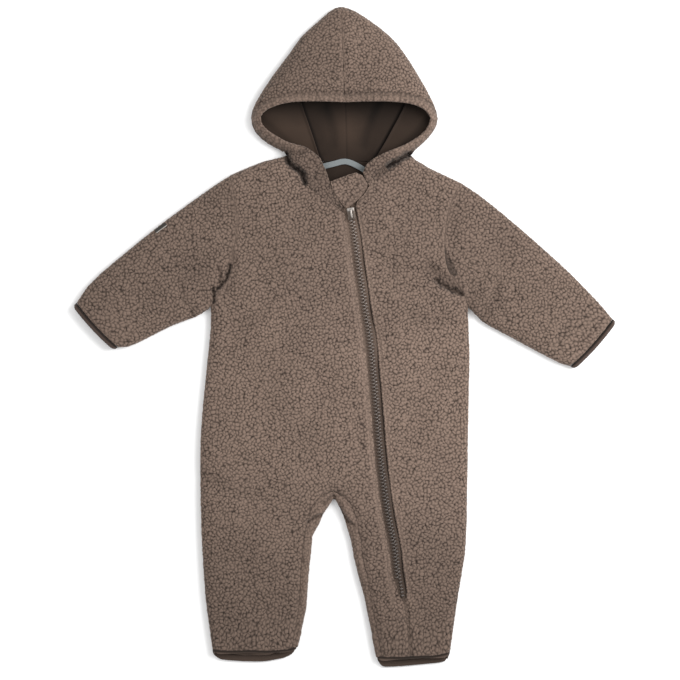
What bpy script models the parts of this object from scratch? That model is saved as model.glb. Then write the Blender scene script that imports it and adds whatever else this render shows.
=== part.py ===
"""Hooded fleece jumpsuit for a baby, closed with a long slanting zip and laid on its back.

Plan sizes are in millimetres: x runs across the garment from the middle of its width, to the
right as seen from the front, and y runs from the lowest hem towards the hood. Heights are in
millimetres above the surface that it lies on. Right and left in names are the wearer's.
"""
from collections import namedtuple
import math

import bmesh
import bpy
import numpy as np
from mathutils import Matrix

MM = 0.001

# Cloth, as a maker would state it
FLEECE = 2.8            # wall of bonded pile fleece
LINING = 1.0            # brushed jersey
SEAM_GAP = 0.35         # between two pieces at a seam
EDGE_HEIGHT = 4.2       # height of the side edges, where front and back meet
EDGE_LIP = 0.85         # upright part of a rounded edge, above and below that height
FRONT_ROUNDING = 8.0    # how far in from an edge the front is still curving
BACK_ROUNDING = 6.0     # the same on the back, which then lies flat
HOOD_ROUNDING = 1.6     # more rounding for each millimetre that the hood stands above the body
BODY_CREST = 9.4        # top of the front where it lies flat on the back

# Zip
ZIP_HALF_GAP = 6.0      # from the zip's middle to the edge of the fleece
TAPE_WIDTH = 9.5
TAPE_TOP, TAPE_WALL = 5.4, 0.8
CHAIN_WIDTH = 3.2
CHAIN_TOP, CHAIN_WALL = 7.6, 1.9
SLANT_START = 84.0      # here the right edge slants in to the closed seam
CHAIN_START = 446.4
CHAIN_ENDS = {"right": 87.0, "left": 70.0}    # the fleece closes over the right row first
SLIDER_WIDTH, SLIDER_LENGTH = 8.6, 12.0
SLIDER_LOW, SLIDER_TOP = 5.7, 8.9
PULL_LENGTH, PULL_WIDTH, PULL_WALL = 15.0, 4.2, 1.0

# Bindings and trims
BINDING = 5.0           # visible height of the elastic binding at cuffs and hems
BINDING_WALL = 2.6
BINDING_CREST = 8.8     # the elastic draws the open ends in a little
SLEEVE_ROWS = 11
BADGE_LENGTH, BADGE_WIDTH = 14.0, 8.0
TAPE_LOW = 4.4          # neck tape, over the lining

Crest = namedtuple("Crest", "y height")
CRESTS = [
    Crest(0, 8.8), Crest(30, 9.1), Crest(60, 9.4), Crest(464, 9.4), Crest(488, 10.6),
    Crest(506, 12.6), Crest(521, 15.4), Crest(540, 18.4), Crest(563, 20.0), Crest(592, 17.0),
    Crest(627, 13.0), Crest(660, 9.0),
]

# Outline of the garment, a named run for each stretch, each from the top down
OUTLINE = {
    "shoulder_right": [(-56.5, 511), (-81.5, 505), (-96.5, 499), (-113.5, 491.5)],
    "shoulder_left": [(66.5, 511), (73, 504.5), (85.5, 499), (98.5, 493), (117.5, 484)],
    "sleeve_top_right": [(-113.5, 491.5), (-135.5, 477), (-183.5, 442), (-219.5, 413),
                         (-243.5, 393), (-255.5, 381), (-265, 366)],
    "sleeve_top_left": [(117.5, 484), (128.5, 477.5), (164.5, 449), (212.5, 407),
                        (236.5, 384), (258, 361), (265.5, 351)],
    "sleeve_under_right": [(-132.5, 361), (-137.5, 356), (-147.5, 350), (-171.5, 341),
                           (-195.5, 329), (-212, 322), (-223.5, 321.5)],
    "sleeve_under_left": [(124.5, 361), (128.5, 356), (140.5, 344), (164.5, 331),
                          (188.5, 318), (212.5, 306), (224.5, 302.5)],
    "side_right": [(-132.5, 361), (-130.5, 352), (-132.5, 342), (-135.5, 312), (-141.5, 252),
                   (-143.5, 212), (-142.5, 142), (-140.5, 102), (-137.5, 62), (-131, 19)],
    "side_left": [(124.5, 361), (123.5, 352), (126.5, 322), (125.5, 272), (124.5, 212),
                  (122.5, 122), (116.5, 82), (110.5, 42), (106.5, 19.5)],
    "inseam_right": [(-9.5, 169), (-13.5, 162), (-20.5, 152), (-24.5, 142), (-30.5, 132),
                     (-32.5, 112), (-35.5, 82), (-36.5, 62), (-40.5, 42), (-45.5, 25)],
    "inseam_left": [(-9.5, 169), (-5.5, 162), (-0.5, 152), (2.5, 142), (8.5, 122),
                    (11.5, 102), (17.5, 82), (22.5, 62), (26, 42), (32.5, 15)],
}

# Seams and free edges, each from the top down or from the wearer's right to the left
SEAMS = {
    "armhole_right": [(-113.5, 491.5), (-108, 461), (-106.5, 438.5), (-111, 412),
                      (-114.5, 391), (-121.5, 376), (-132.5, 361)],
    "armhole_left": [(117.5, 484), (108.5, 466.5), (102.5, 443.5), (101, 417.5),
                     (104, 398), (111.5, 385.5), (119.5, 374), (124.5, 361)],
    "neck_right": [(-56.5, 511), (-48.5, 500), (-39.5, 485), (-25.5, 472), (-3.5, 456.2)],
    "neck_left": [(66.5, 511), (59.5, 509.5), (47.5, 504), (38.5, 497), (31, 489),
                  (25.5, 480)],
    "neck_back": [(-56.5, 511), (-25, 504.5), (4, 502.5), (34, 504.5), (66.5, 511)],
    "hood_middle": [(-2.5, 660), (-1, 625), (1.5, 563.7)],
    "lapel_right": [(-45, 521), (-37.5, 519), (-25.5, 511.5), (-18.5, 498.5), (-13.5, 485),
                    (-10.8, 475), (-4.8, 466), (-0.2, 459.8)],
    "lapel_left": [(54, 518.5), (40.5, 513), (27.5, 506), (21.5, 500), (19.2, 494),
                   (21.2, 488.6)],
    "gusset_right": [(-9.5, 176), (-21, 171.5), (-28.5, 164), (-32.5, 158), (-34, 149),
                     (-37.5, 138.5), (-41.5, 110.5), (-44, 72), (-45.5, 55), (-52, 23.5)],
    "gusset_left": [(-9.5, 176), (3.5, 167.5), (9.5, 158), (13, 147), (17.5, 126),
                    (19, 112), (25.5, 82), (30.5, 52), (38.5, 15.5)],
    "zip": [(7.5, 453.5), (12, 427), (17, 391), (22, 357), (27, 327), (33.5, 258),
            (37, 214), (41.5, 175), (46, 147), (51.5, 119), (54.5, 93), (58.5, 67)],
    "below_zip": [(60.5, 63), (62.5, 49), (65, 32), (67.5, 17.5)],
    "throat_left": [(25.5, 480), (24.3, 477.3), (19.4, 470.6), (12.8, 464), (11.9, 460.5),
                    (13.4, 454.5)],
    "back_hem_right": [(-131, 19), (-124, 13), (-112, 9.8), (-92, 8.8), (-72, 10),
                       (-60, 13.5), (-52, 19), (-45.5, 25)],
    "back_hem_left": [(32.5, 15), (38, 9.8), (46, 7.2), (62, 7.5), (84, 10), (97, 13),
                      (106.5, 19.5)],
}

# The hood, a row for each section from its fold at the side to the edge of its mouth
HoodSection = namedtuple("HoodSection", "fold_x fold_y mouth_x mouth_y")
HOOD_SECTIONS = {
    "right": [
        HoodSection(-2.5, 660, 1.5, 563.7), HoodSection(-5.5, 660, -4, 563.7),
        HoodSection(-13, 656.4, -11, 564), HoodSection(-26, 645, -22.5, 564.2),
        HoodSection(-42, 630.5, -34, 564.3), HoodSection(-54.5, 613, -46, 564),
        HoodSection(-72.5, 589, -59.5, 562.4), HoodSection(-87.5, 565, -75.5, 557),
        HoodSection(-92.5, 550, -83.3, 549.5), HoodSection(-88.5, 535, -80.5, 539.5),
        HoodSection(-75.5, 523, -69.5, 531), HoodSection(-64, 517.2, -56, 523.8),
        HoodSection(-56.5, 511, -45, 521),
    ],
    "left": [
        HoodSection(-2.5, 660, 1.5, 563.7), HoodSection(1, 660, 6, 563.7),
        HoodSection(10, 656.8, 13.5, 564), HoodSection(26, 647, 26.5, 564.2),
        HoodSection(46.5, 631, 40, 564.2), HoodSection(61.5, 613, 53, 563.6),
        HoodSection(76.5, 589, 66.5, 562), HoodSection(89.5, 565, 80.5, 557),
        HoodSection(94.5, 548, 87.6, 547.5), HoodSection(90, 535.5, 82.5, 535.5),
        HoodSection(80.5, 524.5, 72, 527), HoodSection(72.5, 517.5, 62.5, 521.8),
        HoodSection(66.5, 511, 54, 518.5),
    ],
}
for _side, _rows in HOOD_SECTIONS.items():
    OUTLINE["hood_" + _side] = [(row.fold_x, row.fold_y) for row in _rows]
    SEAMS["mouth_" + _side] = [(row.mouth_x, row.mouth_y) for row in _rows]

Fold = namedtuple("Fold", "x0 y0 x1 y1 half_width depth")
FOLDS = [
    Fold(-57, 510, -40, 487, 7.0, 2.8),       # beside the neck, right
    Fold(62, 510, 36, 494, 7.0, 2.8),         # beside the neck, left
    Fold(-110, 392, -127, 371, 7.0, 2.0),     # under the right arm
    Fold(-121, 398, -128, 376, 6.0, 1.6),
    Fold(94, 385, 117, 374, 7.0, 2.0),        # under the left arm
    Fold(-34, 146, -22, 152, 4.0, 1.4),       # beside the crotch
    Fold(-4, 172, 12, 150, 5.0, 1.0),
    Fold(-150, 352, -176, 378, 10.0, 1.2),    # long soft hollows in the sleeves
    Fold(146, 352, 176, 384, 10.0, 1.2),
    Fold(-96, 150, -52, 126, 12.0, 0.9),      # and in the legs
    Fold(60, 176, 104, 160, 12.0, 0.9),
]
SEAM_DIPS = {"armhole_right": 1.1, "armhole_left": 1.1, "gusset_right": 0.9,
             "gusset_left": 0.9, "hood_middle": 1.0, "below_zip": 1.0}
SEAM_DIP_HALF_WIDTH = 4.0

COLOURS = {
    "fleece": ((0.165, 0.115, 0.088), 0.95, 0.0),
    "lining": ((0.045, 0.030, 0.022), 0.85, 0.0),
    "binding": ((0.050, 0.034, 0.026), 0.80, 0.0),
    "zip_tape": ((0.110, 0.078, 0.060), 0.85, 0.0),
    "zip_teeth": ((0.120, 0.095, 0.078), 0.35, 0.0),
    "slider": ((0.420, 0.400, 0.370), 0.35, 1.0),
    "neck_tape": ((0.280, 0.300, 0.305), 0.80, 0.0),
    "badge": ((0.060, 0.052, 0.048), 0.70, 0.0),
}


# ---------------------------------------------------------------- curves in plan

def through(points, parts):
    """A Catmull-Rom curve through the given points, in `parts` steps from each to the next."""
    points = np.array(points, float)
    padded = np.vstack([2 * points[0] - points[1], points, 2 * points[-1] - points[-2]])
    line = [points[0]]
    for before, start, end, after in zip(padded, padded[1:], padded[2:], padded[3:]):
        for t in np.arange(1, parts + 1) / parts:
            line.append(0.5 * (2 * start + (end - before) * t
                               + (2 * before - 5 * start + 4 * end - after) * t ** 2
                               + (3 * start - before - 3 * end + after) * t ** 3))
    return np.array(line)


def smooth(points):
    return through(points, 16)


def lengths(line):
    return np.concatenate([[0.0], np.cumsum(np.linalg.norm(np.diff(line, axis=0), axis=1))])


def length(line):
    return lengths(line)[-1]


def at(line, distances, aside=0.0):
    """Points of a line at the given distances from its start, moved aside to its left."""
    run = lengths(line)
    line = offset(line, aside) if aside else line
    return np.column_stack([np.interp(distances, run, line[:, axis]) for axis in (0, 1)])


def trimmed(line, start=0.0, end=0.0):
    """The line without its first `start` and last `end` millimetres."""
    total = length(line)
    run = lengths(line)
    inside = run[(run > start) & (run < total - end)]
    return at(line, np.concatenate([[start], inside, [total - end]]))


def offset(line, distance):
    """The line moved sideways, to the left of its own direction."""
    tangent = np.gradient(line, axis=0)
    tangent /= np.linalg.norm(tangent, axis=1)[:, None]
    return line + distance * np.column_stack([-tangent[:, 1], tangent[:, 0]])


def steps(total, near_start, near_end, middle):
    """Distances from 0 to total: close together at the ends, `middle` equal steps between."""
    first = np.array(near_start, float)
    last = total - np.array(near_end, float)[::-1]
    between = np.linspace(first[-1], last[0], middle + 1)[1:-1]
    return np.concatenate([first, between, last])


def chain(*lines):
    """Lines that follow one another, joined end to end."""
    joined = [lines[0]]
    for line in lines[1:]:
        joined.append(line[1:] if np.allclose(line[0], joined[-1][-1]) else line)
    return np.vstack(joined)


def at_heights(line, heights):
    """Points of a line that runs down the garment, at the given y."""
    return np.column_stack([np.interp(-heights, -line[:, 1], line[:, 0]), heights])


LINES = {name: smooth(points) for name, points in {**OUTLINE, **SEAMS}.items()}
EDGES = [LINES[name] for name in OUTLINE]
ROUND_EDGE = [0.0, 1.1, 4.0, 8.0]     # how the points stand in from a rounded edge


# ---------------------------------------------------------------- heights

def distance_to(points, line):
    """Shortest distance from each point to a line."""
    start, step = line[:-1], np.diff(line, axis=0)
    along = ((points[:, None, :] - start) * step).sum(2) / (step ** 2).sum(1)
    nearest = start + np.clip(along, 0, 1)[..., None] * step
    return np.linalg.norm(points[:, None, :] - nearest, axis=2).min(1)


def edge_distance(points):
    return np.min([distance_to(points, line) for line in EDGES], axis=0)


def quarter_round(share):
    """Rises from 0 at an edge to 1, as a quarter of an ellipse does."""
    return np.sqrt(1 - (1 - np.clip(share, 0, 1)) ** 2)


def soft_bump(share):
    """1 in the middle of a fold or seam, 0 at its half width."""
    share = np.clip(share, 0, 1)
    return (1 - share ** 2) ** 2


def front_height(points):
    """Outer side of the layer that faces up: rounded edges, seams and soft folds."""
    crest = np.interp(points[:, 1], [row.y for row in CRESTS], [row.height for row in CRESTS])
    rounding = FRONT_ROUNDING + HOOD_ROUNDING * np.maximum(crest - BODY_CREST, 0)
    rise = quarter_round(edge_distance(points) / rounding)
    low = EDGE_HEIGHT + EDGE_LIP
    dip = np.zeros(len(points))
    for name, depth in SEAM_DIPS.items():
        near = soft_bump(distance_to(points, LINES[name]) / SEAM_DIP_HALF_WIDTH)
        dip = np.maximum(dip, depth * near)
    for fold in FOLDS:
        line = np.array([(fold.x0, fold.y0), (fold.x1, fold.y1)], float)
        near = soft_bump(distance_to(points, line) / fold.half_width)
        dip = np.maximum(dip, fold.depth * near)
    return low + (crest - low - dip) * rise


def back_height(points):
    """Outer side of the layer below: flat on the surface, turned up at its edges."""
    rise = quarter_round(edge_distance(points) / BACK_ROUNDING)
    return (EDGE_HEIGHT - EDGE_LIP) * (1 - rise)


# ---------------------------------------------------------------- sheets of cloth

def patch(top, bottom, left, right):
    """A grid of plan points between four lines, by Coons' rule. Rows run from left to right."""
    across = 0.5 * (lengths(top) / length(top) + lengths(bottom) / length(bottom))
    down = 0.5 * (lengths(left) / length(left) + lengths(right) / length(right))
    u, v = across[None, :, None], down[:, None, None]
    grid = (1 - v) * top[None] + v * bottom[None] + (1 - u) * left[:, None] + u * right[:, None]
    corners = ((1 - u) * (1 - v) * top[0] + u * (1 - v) * top[-1]
               + (1 - u) * v * bottom[0] + u * v * bottom[-1])
    return grid - corners


def raised(grid, height, lift=0.0):
    """A grid of plan points with the heights that a function gives them."""
    points = grid.reshape(-1, 2)
    heights = height(points) + lift
    return np.column_stack([points, heights]).reshape(*grid.shape[:2], 3)


def colour_of(name):
    material = bpy.data.materials.get(name)
    if material:
        return material
    colour, roughness, metallic = COLOURS[name]
    material = bpy.data.materials.new(name)
    material.use_nodes = True
    shader = material.node_tree.nodes["Principled BSDF"]
    shader.inputs["Base Color"].default_value = (*colour, 1)
    shader.inputs["Roughness"].default_value = roughness
    shader.inputs["Metallic"].default_value = metallic
    material.diffuse_color = (*colour, 1)
    return material


def new_object(name, mesh, material):
    mesh.materials.append(colour_of(material))
    thing = bpy.data.objects.new(name, mesh)
    GARMENT.objects.link(thing)
    return thing


def sheet(name, grids, wall, material, lip_to=None, ring=False):
    """Cloth through one or more grids of points, thickened inwards.

    lip_to is the height to which an edge that lies on the outline is turned, and ring joins
    the last column of a grid to its first.
    """
    shape = bmesh.new()
    for grid in grids:
        rows = [[shape.verts.new(point * MM) for point in row] for row in grid]
        for row, below in zip(rows, rows[1:]):
            corners = list(zip(row, row[1:], below[1:], below))
            if ring:
                corners.append((row[-1], row[0], below[0], below[-1]))
            for corner in corners:
                shape.faces.new(corner)
    bmesh.ops.remove_doubles(shape, verts=shape.verts, dist=0.02 * MM)
    bmesh.ops.dissolve_degenerate(shape, edges=shape.edges, dist=0.02 * MM)
    if lip_to is not None:
        rims = [edge for edge in shape.edges if edge.is_boundary]
        middles = np.array([[vert.co.x, vert.co.y] for edge in rims for vert in edge.verts])
        near = edge_distance(middles / MM).reshape(-1, 2).max(1) < 0.06
        rims = [edge for edge, on_outline in zip(rims, near) if on_outline]
        turned = bmesh.ops.extrude_edge_only(shape, edges=rims)["geom"]
        for item in turned:
            if isinstance(item, bmesh.types.BMVert):
                item.co.z = lip_to * MM
    bmesh.ops.recalc_face_normals(shape, faces=shape.faces)
    highest = max(shape.faces, key=lambda face: face.calc_center_median().z * abs(face.normal.z))
    faces_up = highest.normal.z > 0
    outside_up = lip_to is None or lip_to >= EDGE_HEIGHT
    if faces_up != outside_up:
        bmesh.ops.reverse_faces(shape, faces=shape.faces)
    mesh = bpy.data.meshes.new(name)
    shape.to_mesh(mesh)
    shape.free()
    mesh.shade_smooth()
    thing = new_object(name, mesh, material)
    thickness = thing.modifiers.new("wall", "SOLIDIFY")
    thickness.thickness = wall * MM
    thickness.offset = -1
    thickness.use_even_offset = False
    return thing


FRONT_LIP = EDGE_HEIGHT + 0.2
BACK_LIP = EDGE_HEIGHT - 0.2
CROTCH_Y = 176.0
SLEEVE_GAP = NECK_GAP = 0.6
TURNED_UP = 3.6         # the binding starts lower where the back's edge turns up
LEG_SHARES = np.array([0, 0.035, 0.08, 0.13, 0.2, 0.29, 0.4, 0.52, 0.65, 0.77, 0.89, 1.0])
THROAT_SHARES = np.array([0, 0.12, 0.36, 0.64, 0.82, 1.0])
HOOD_SHARES = np.array([0, 0.04, 0.13, 0.28, 0.5, 0.75, 0.93, 1.0])


BACK_LEG_SHARES = steps(1.0, [0, 0.007, 0.023, 0.045], [0, 0.007, 0.023, 0.045], 3)


def between(start, end, shares):
    return start + np.outer(shares, end - start)


def armhole_steps(side):
    return steps(length(LINES["armhole_" + side]), ROUND_EDGE, [0, 1.5, 5, 9], 4)


def neck_steps(side):
    return steps(length(LINES["neck_" + side]), [0, 1.2, 4, 9], [0, 6], 4)


def back_neck_steps():
    """Places along the back neck seam, from each notch to its middle and on to the other."""
    half = length(LINES["neck_back"]) / 2
    first = np.array([0, 1.2, 3.5, 7, half])
    return np.concatenate([first, 2 * half - first[-2::-1]])


def body_edge(side):
    """The armhole and side seam of one side to the crotch's height, and on down the leg."""
    armhole, flank = LINES["armhole_" + side], LINES["side_" + side]
    split = at_heights(flank, np.array([CROTCH_Y]))
    above = np.vstack([flank[flank[:, 1] > CROTCH_Y], split])
    below = np.vstack([split, flank[flank[:, 1] < CROTCH_Y]])
    upper = chain(at(armhole, armhole_steps(side)),
                  at(above, steps(length(above), [0], [0, 1.3, 5, 11], 7)))
    return upper, at(below, length(below) * LEG_SHARES)


def down_leg(name, aside=0.0):
    return at(LINES[name], length(LINES[name]) * LEG_SHARES, aside)


def matching(line, heights):
    """Points of a line that divide its height as the given heights divide theirs."""
    share = (heights[0] - heights) / (heights[0] - heights[-1])
    return at_heights(line, line[0, 1] - share * (line[0, 1] - line[-1, 1]))


def zip_edge(sign):
    """Edge of the fleece beside the zip, sign -1 on the wearer's right and 1 on the left."""
    edge = offset(LINES["zip"], sign * ZIP_HALF_GAP)
    if sign < 0:
        edge = edge[edge[:, 1] > SLANT_START]
    return chain(edge, offset(LINES["below_zip"], sign * SEAM_GAP / 2))


def make_front_right():
    """Body front from the right side to the zip, with the right leg and the zip's leg inside."""
    side, leg = body_edge("right")
    edge = zip_edge(-1)
    split = at_heights(edge, np.array([CROTCH_Y]))
    upper_edge = matching(np.vstack([edge[edge[:, 1] > CROTCH_Y], split]), side[:, 1])
    shoulder = LINES["shoulder_right"][::-1]
    shoulder = at(shoulder, steps(length(shoulder) - SEAM_GAP, ROUND_EDGE, [0], 4))
    neck = at(LINES["neck_right"], neck_steps("right"), -NECK_GAP)
    top_line = np.vstack([shoulder, neck[1:], upper_edge[:1]])

    crotch = LINES["gusset_right"][0]
    crotch_share = (crotch[0] - side[-1, 0]) / (split[0, 0] - side[-1, 0])
    leg_shares = steps(1.0, [0, 0.009, 0.032, 0.066], [0, 0.035, 0.09], 6)
    zip_shares = steps(1.0, [0, 0.1], [0, 0.09], 3)
    shares = np.concatenate([leg_shares * crotch_share,
                             crotch_share + zip_shares[1:] * (1 - crotch_share)])
    middle = between(side[-1], split[0], shares)
    upper = patch(top_line, middle, side, upper_edge)

    inner, split_at = down_leg("gusset_right"), len(leg_shares)
    hem = between(leg[-1], inner[-1], leg_shares)
    right_leg = patch(middle[:split_at], hem, leg, inner)
    inner = down_leg("gusset_left")
    edge = matching(np.vstack([split, edge[edge[:, 1] < CROTCH_Y]]), leg[:, 1])
    hem = between(inner[-1], edge[-1], zip_shares)
    zip_leg = patch(middle[split_at - 1:], hem, inner, edge)
    grids = [raised(grid, front_height) for grid in (upper, right_leg, zip_leg)]
    sheet("front_right", grids, FLEECE, "fleece", FRONT_LIP)


def make_front_left():
    """Body front from the zip to the left side, down the outside of the left leg."""
    side, leg = body_edge("left")
    outer = chain(side, leg)
    throat, edge = LINES["throat_left"], zip_edge(1)
    throat = at(throat, length(throat) * THROAT_SHARES)
    edge[0] = throat[-1]
    beside = outer[len(throat) - 1:]
    edge = chain(throat, at(edge, length(edge) * lengths(beside) / length(beside)))
    shoulder = LINES["shoulder_left"]
    total = length(shoulder)
    shoulder = at(shoulder, SEAM_GAP + total - steps(total, ROUND_EDGE, [SEAM_GAP], 3)[::-1])
    shoulder[-1] = outer[0]
    neck = at(LINES["neck_left"], neck_steps("left"), NECK_GAP)[::-1]
    top_line = np.vstack([neck[:-1], shoulder])
    top_line[0] = edge[0]
    shares = steps(1.0, [0, 0.03, 0.08], [0, 0.01, 0.036, 0.073], len(top_line) - 6)
    hem = between(edge[-1], outer[-1], shares)
    grid = patch(top_line, hem, edge, outer)
    sheet("front_left", [raised(grid, front_height)], FLEECE, "fleece", FRONT_LIP)


def make_back():
    """One back panel from neck to hems, flat on the surface."""
    right, right_leg = body_edge("right")
    left, left_leg = body_edge("left")
    shoulders = []
    for side in ("right", "left"):
        line = LINES["shoulder_" + side]
        line = line[::-1] if side == "right" else line
        places = steps(length(line) - SEAM_GAP, ROUND_EDGE, [0], 2)
        shoulders.append(at(line if side == "right" else line[::-1], places))
    neck = at(LINES["neck_back"], back_neck_steps(), -SEAM_GAP)
    top_line = np.vstack([shoulders[0], neck[1:-1], shoulders[1][::-1]])
    apex = LINES["inseam_right"][0]
    crotch_share = (apex[0] - right[-1, 0]) / (left[-1, 0] - right[-1, 0])
    half = BACK_LEG_SHARES
    shares = np.concatenate([half * crotch_share, crotch_share + half[1:] * (1 - crotch_share)])
    middle = between(right[-1], left[-1], shares)
    middle[:, 1] -= (CROTCH_Y - apex[1]) * np.interp(shares, [0, crotch_share, 1], [0, 1, 0])
    grids = [patch(top_line, middle, right, left)]
    count = len(half)
    for side, leg, top in (("right", right_leg, middle[:count]),
                           ("left", left_leg, middle[count - 1:])):
        inner = down_leg("inseam_" + side)
        hem = at(LINES["back_hem_" + side], half * length(LINES["back_hem_" + side]))
        grids.append(patch(top, hem, *((leg, inner) if side == "right" else (inner, leg))))
    sheet("back", [raised(grid, back_height) for grid in grids], FLEECE, "fleece", BACK_LIP)


def make_gusset():
    """The strip that runs from hem to hem round the inside of both legs."""
    outer = chain(down_leg("inseam_right")[::-1], down_leg("inseam_left"))
    right, left = down_leg("gusset_right", SEAM_GAP), down_leg("gusset_left", -SEAM_GAP)
    right[0] = left[0] = LINES["gusset_right"][0] - (0, SEAM_GAP)
    inner = chain(right[::-1], left)
    shares = np.array([0, 0.13, 0.45, 1.0])
    grid = np.array([between(start, end, shares) for start, end in zip(outer, inner)])
    sheet("crotch_gusset", [raised(grid, front_height)], FLEECE, "fleece", FRONT_LIP)


# ---------------------------------------------------------------- sleeves and bindings

def binding_ring(name, ends, out):
    """A flat band round an open end: ends are its points in order, out the way it reaches."""
    ends = ends.copy()
    ends[:, 2] = np.minimum(ends[:, 2], BINDING_CREST)
    rows = [ends + np.array([*out, 0]) * step for step in (SEAM_GAP, BINDING / 2, BINDING)]
    sheet(name, [np.array(rows)], BINDING_WALL, "binding", ring=True)


def make_sleeve(side):
    """A flattened tube from the armhole to the cuff, open at both ends, and its binding."""
    sign = -1 if side == "right" else 1
    top = trimmed(LINES["sleeve_top_" + side], SLEEVE_GAP)
    under = trimmed(LINES["sleeve_under_" + side], SLEEVE_GAP)
    armhole = at(LINES["armhole_" + side], armhole_steps(side), sign * SLEEVE_GAP)
    armhole[0], armhole[-1] = top[0], under[0]
    top = at(top, np.linspace(0, length(top), SLEEVE_ROWS + 1))
    under = at(under, np.linspace(0, length(under), SLEEVE_ROWS + 1))
    near = [0, 0.011, 0.04, 0.08]
    cuff = between(top[-1], under[-1], steps(1.0, near, near, len(armhole) - 7))
    grid = patch(armhole, cuff, top, under)
    tube = np.concatenate([raised(grid, front_height), raised(grid, back_height)[:, ::-1]],
                          axis=1)
    sheet("sleeve_" + side, [tube], FLEECE, "fleece", ring=True)
    across = cuff[-1] - cuff[0]
    out = np.array([across[1], -across[0]]) / np.linalg.norm(across)
    binding_ring("cuff_binding_" + side, tube[-1], out if side == "right" else -out)


def make_hem_binding(side):
    """The elastic binding round a leg's open hem, lower on the back than on the front."""
    corners = [LINES[name + side][-1] for name in ("side_", "gusset_", "inseam_")]
    if side == "left":
        corners.append(zip_edge(-1)[-1])
    front = np.array(sorted(corners, key=lambda point: point[0]))
    near = [0, 0.012, 0.045, 0.09]
    front = at(front, length(front) * steps(1.0, near, near, 5))
    back = LINES["back_hem_" + side]
    back = raised(at(back, length(back) * BACK_LEG_SHARES)[None], back_height)[0]
    back[:, 1] -= TURNED_UP * back[:, 2] / (EDGE_HEIGHT - EDGE_LIP)
    ring = np.vstack([raised(front[None], front_height)[0], back[::-1]])
    binding_ring("hem_binding_" + side, ring, (0, -1))


# ---------------------------------------------------------------- hood

def make_hood(side):
    """One half of the hood: the crown, the fold at its side, the layer below and the lapel."""
    sign = -1 if side == "right" else 1
    table = HOOD_SECTIONS[side]
    fold = through([(row.fold_x, row.fold_y) for row in table], 2)
    mouth = through([(row.mouth_x, row.mouth_y) for row in table], 2)
    fold[0], fold[-1] = at(fold, [SEAM_GAP / 2, length(fold) - SEAM_GAP])
    mouth[0] = mouth[0] + (sign * SEAM_GAP / 2, 0)
    crown = np.array([between(start, end, HOOD_SHARES) for start, end in zip(fold, mouth)])
    crown = raised(crown, front_height)

    neck = at(LINES["neck_" + side], neck_steps(side))
    neck[0] = fold[-1]
    lapel = LINES["lapel_" + side]
    lapel = at(lapel, length(lapel) * neck_steps(side) / neck_steps(side)[-1])
    lapel = np.array([between(start, end, HOOD_SHARES) for start, end in zip(neck, lapel)])
    lapel = raised(lapel, front_height)

    places = back_neck_steps()
    lower = LINES["neck_back"] if side == "right" else LINES["neck_back"][::-1]
    lower = at(lower, places[:len(places) // 2 + 1])
    lower[0] = fold[-1]
    lower[-1, 0] += sign * SEAM_GAP / 2
    seam = between(fold[0], lower[-1], np.linspace(0, 1, len(fold)) ** 0.8 * 0.7 + 0.3)
    top = between(fold[0], seam[0], np.array([0, 0.03, 0.1, 0.2, 1.0]))
    under = raised(patch(top, lower, fold, seam), back_height)
    profile = np.concatenate([crown[:, ::-1], under], axis=1)
    sheet("hood_" + side, [profile, lapel], FLEECE, "fleece")


def make_linings():
    """What shows inside the hood and neck: the middle, the two folded sides, the neck."""
    rows = between(np.array([-56.0, 592.0]), np.array([-40.0, 505.5]), np.linspace(0, 1, 7))
    ends = between(np.array([58.0, 592.0]), np.array([50.0, 505.5]), np.linspace(0, 1, 7))
    grid = np.array([between(a, b, np.linspace(0, 1, 7)) for a, b in zip(rows, ends)])
    flat = raised(grid, lambda points: np.full(len(points), FLEECE + 0.3 + LINING))
    sheet("hood_lining_back", [flat], LINING, "lining")

    Side = namedtuple("Side", "fold_x fold_y wall_x wall_y")
    sides = {
        "right": [Side(-45, 574, -66, 582), Side(-41.5, 562, -79, 561),
                  Side(-37, 549, -85, 548), Side(-33.5, 539, -82, 538),
                  Side(-29.5, 527, -71, 528), Side(-22.5, 505, -52, 515)],
        "left": [Side(65, 574, 72, 582), Side(61.5, 562, 82, 562),
                 Side(55, 549, 87, 549), Side(49.5, 539, 83.5, 538),
                 Side(42.5, 526, 74.5, 526.5), Side(30.5, 506, 58, 515.5)],
    }
    low = FLEECE + 0.3 + LINING + 0.35 + LINING
    for side, table in sides.items():
        folds = through([(row.fold_x, row.fold_y) for row in table], 1)
        walls = through([(row.wall_x, row.wall_y) for row in table], 1)
        shares = np.array([0, 0.06, 0.25, 0.5, 0.75, 1.0])
        grid = np.array([between(a, b, shares) for a, b in zip(folds, walls)])
        rise = low + 2.2 * shares ** 1.6
        points = np.dstack([grid, np.broadcast_to(rise, grid.shape[:2])])
        sheet("hood_lining_" + side, [points], LINING, "lining")

    rows = between(np.array([-30.0, 505.0]), np.array([-24.0, 452.0]), np.linspace(0, 1, 5))
    ends = between(np.array([34.0, 505.0]), np.array([36.0, 452.0]), np.linspace(0, 1, 5))
    grid = np.array([between(a, b, np.linspace(0, 1, 5)) for a, b in zip(rows, ends)])
    flat = raised(grid, lambda points: np.full(len(points), FLEECE + 0.3 + LINING))
    sheet("neck_lining", [flat], LINING, "lining")

    tape = through([(-22, 500), (-10, 503), (1.5, 505.5), (12, 502), (24, 495)], 3)
    grid = np.stack([offset(tape, 2.8), tape, offset(tape, -2.8)], axis=1)
    high = raised(grid, lambda points: np.full(len(points), TAPE_LOW + 0.9))
    sheet("neck_tape", [high], 0.9, "neck_tape")


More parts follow.
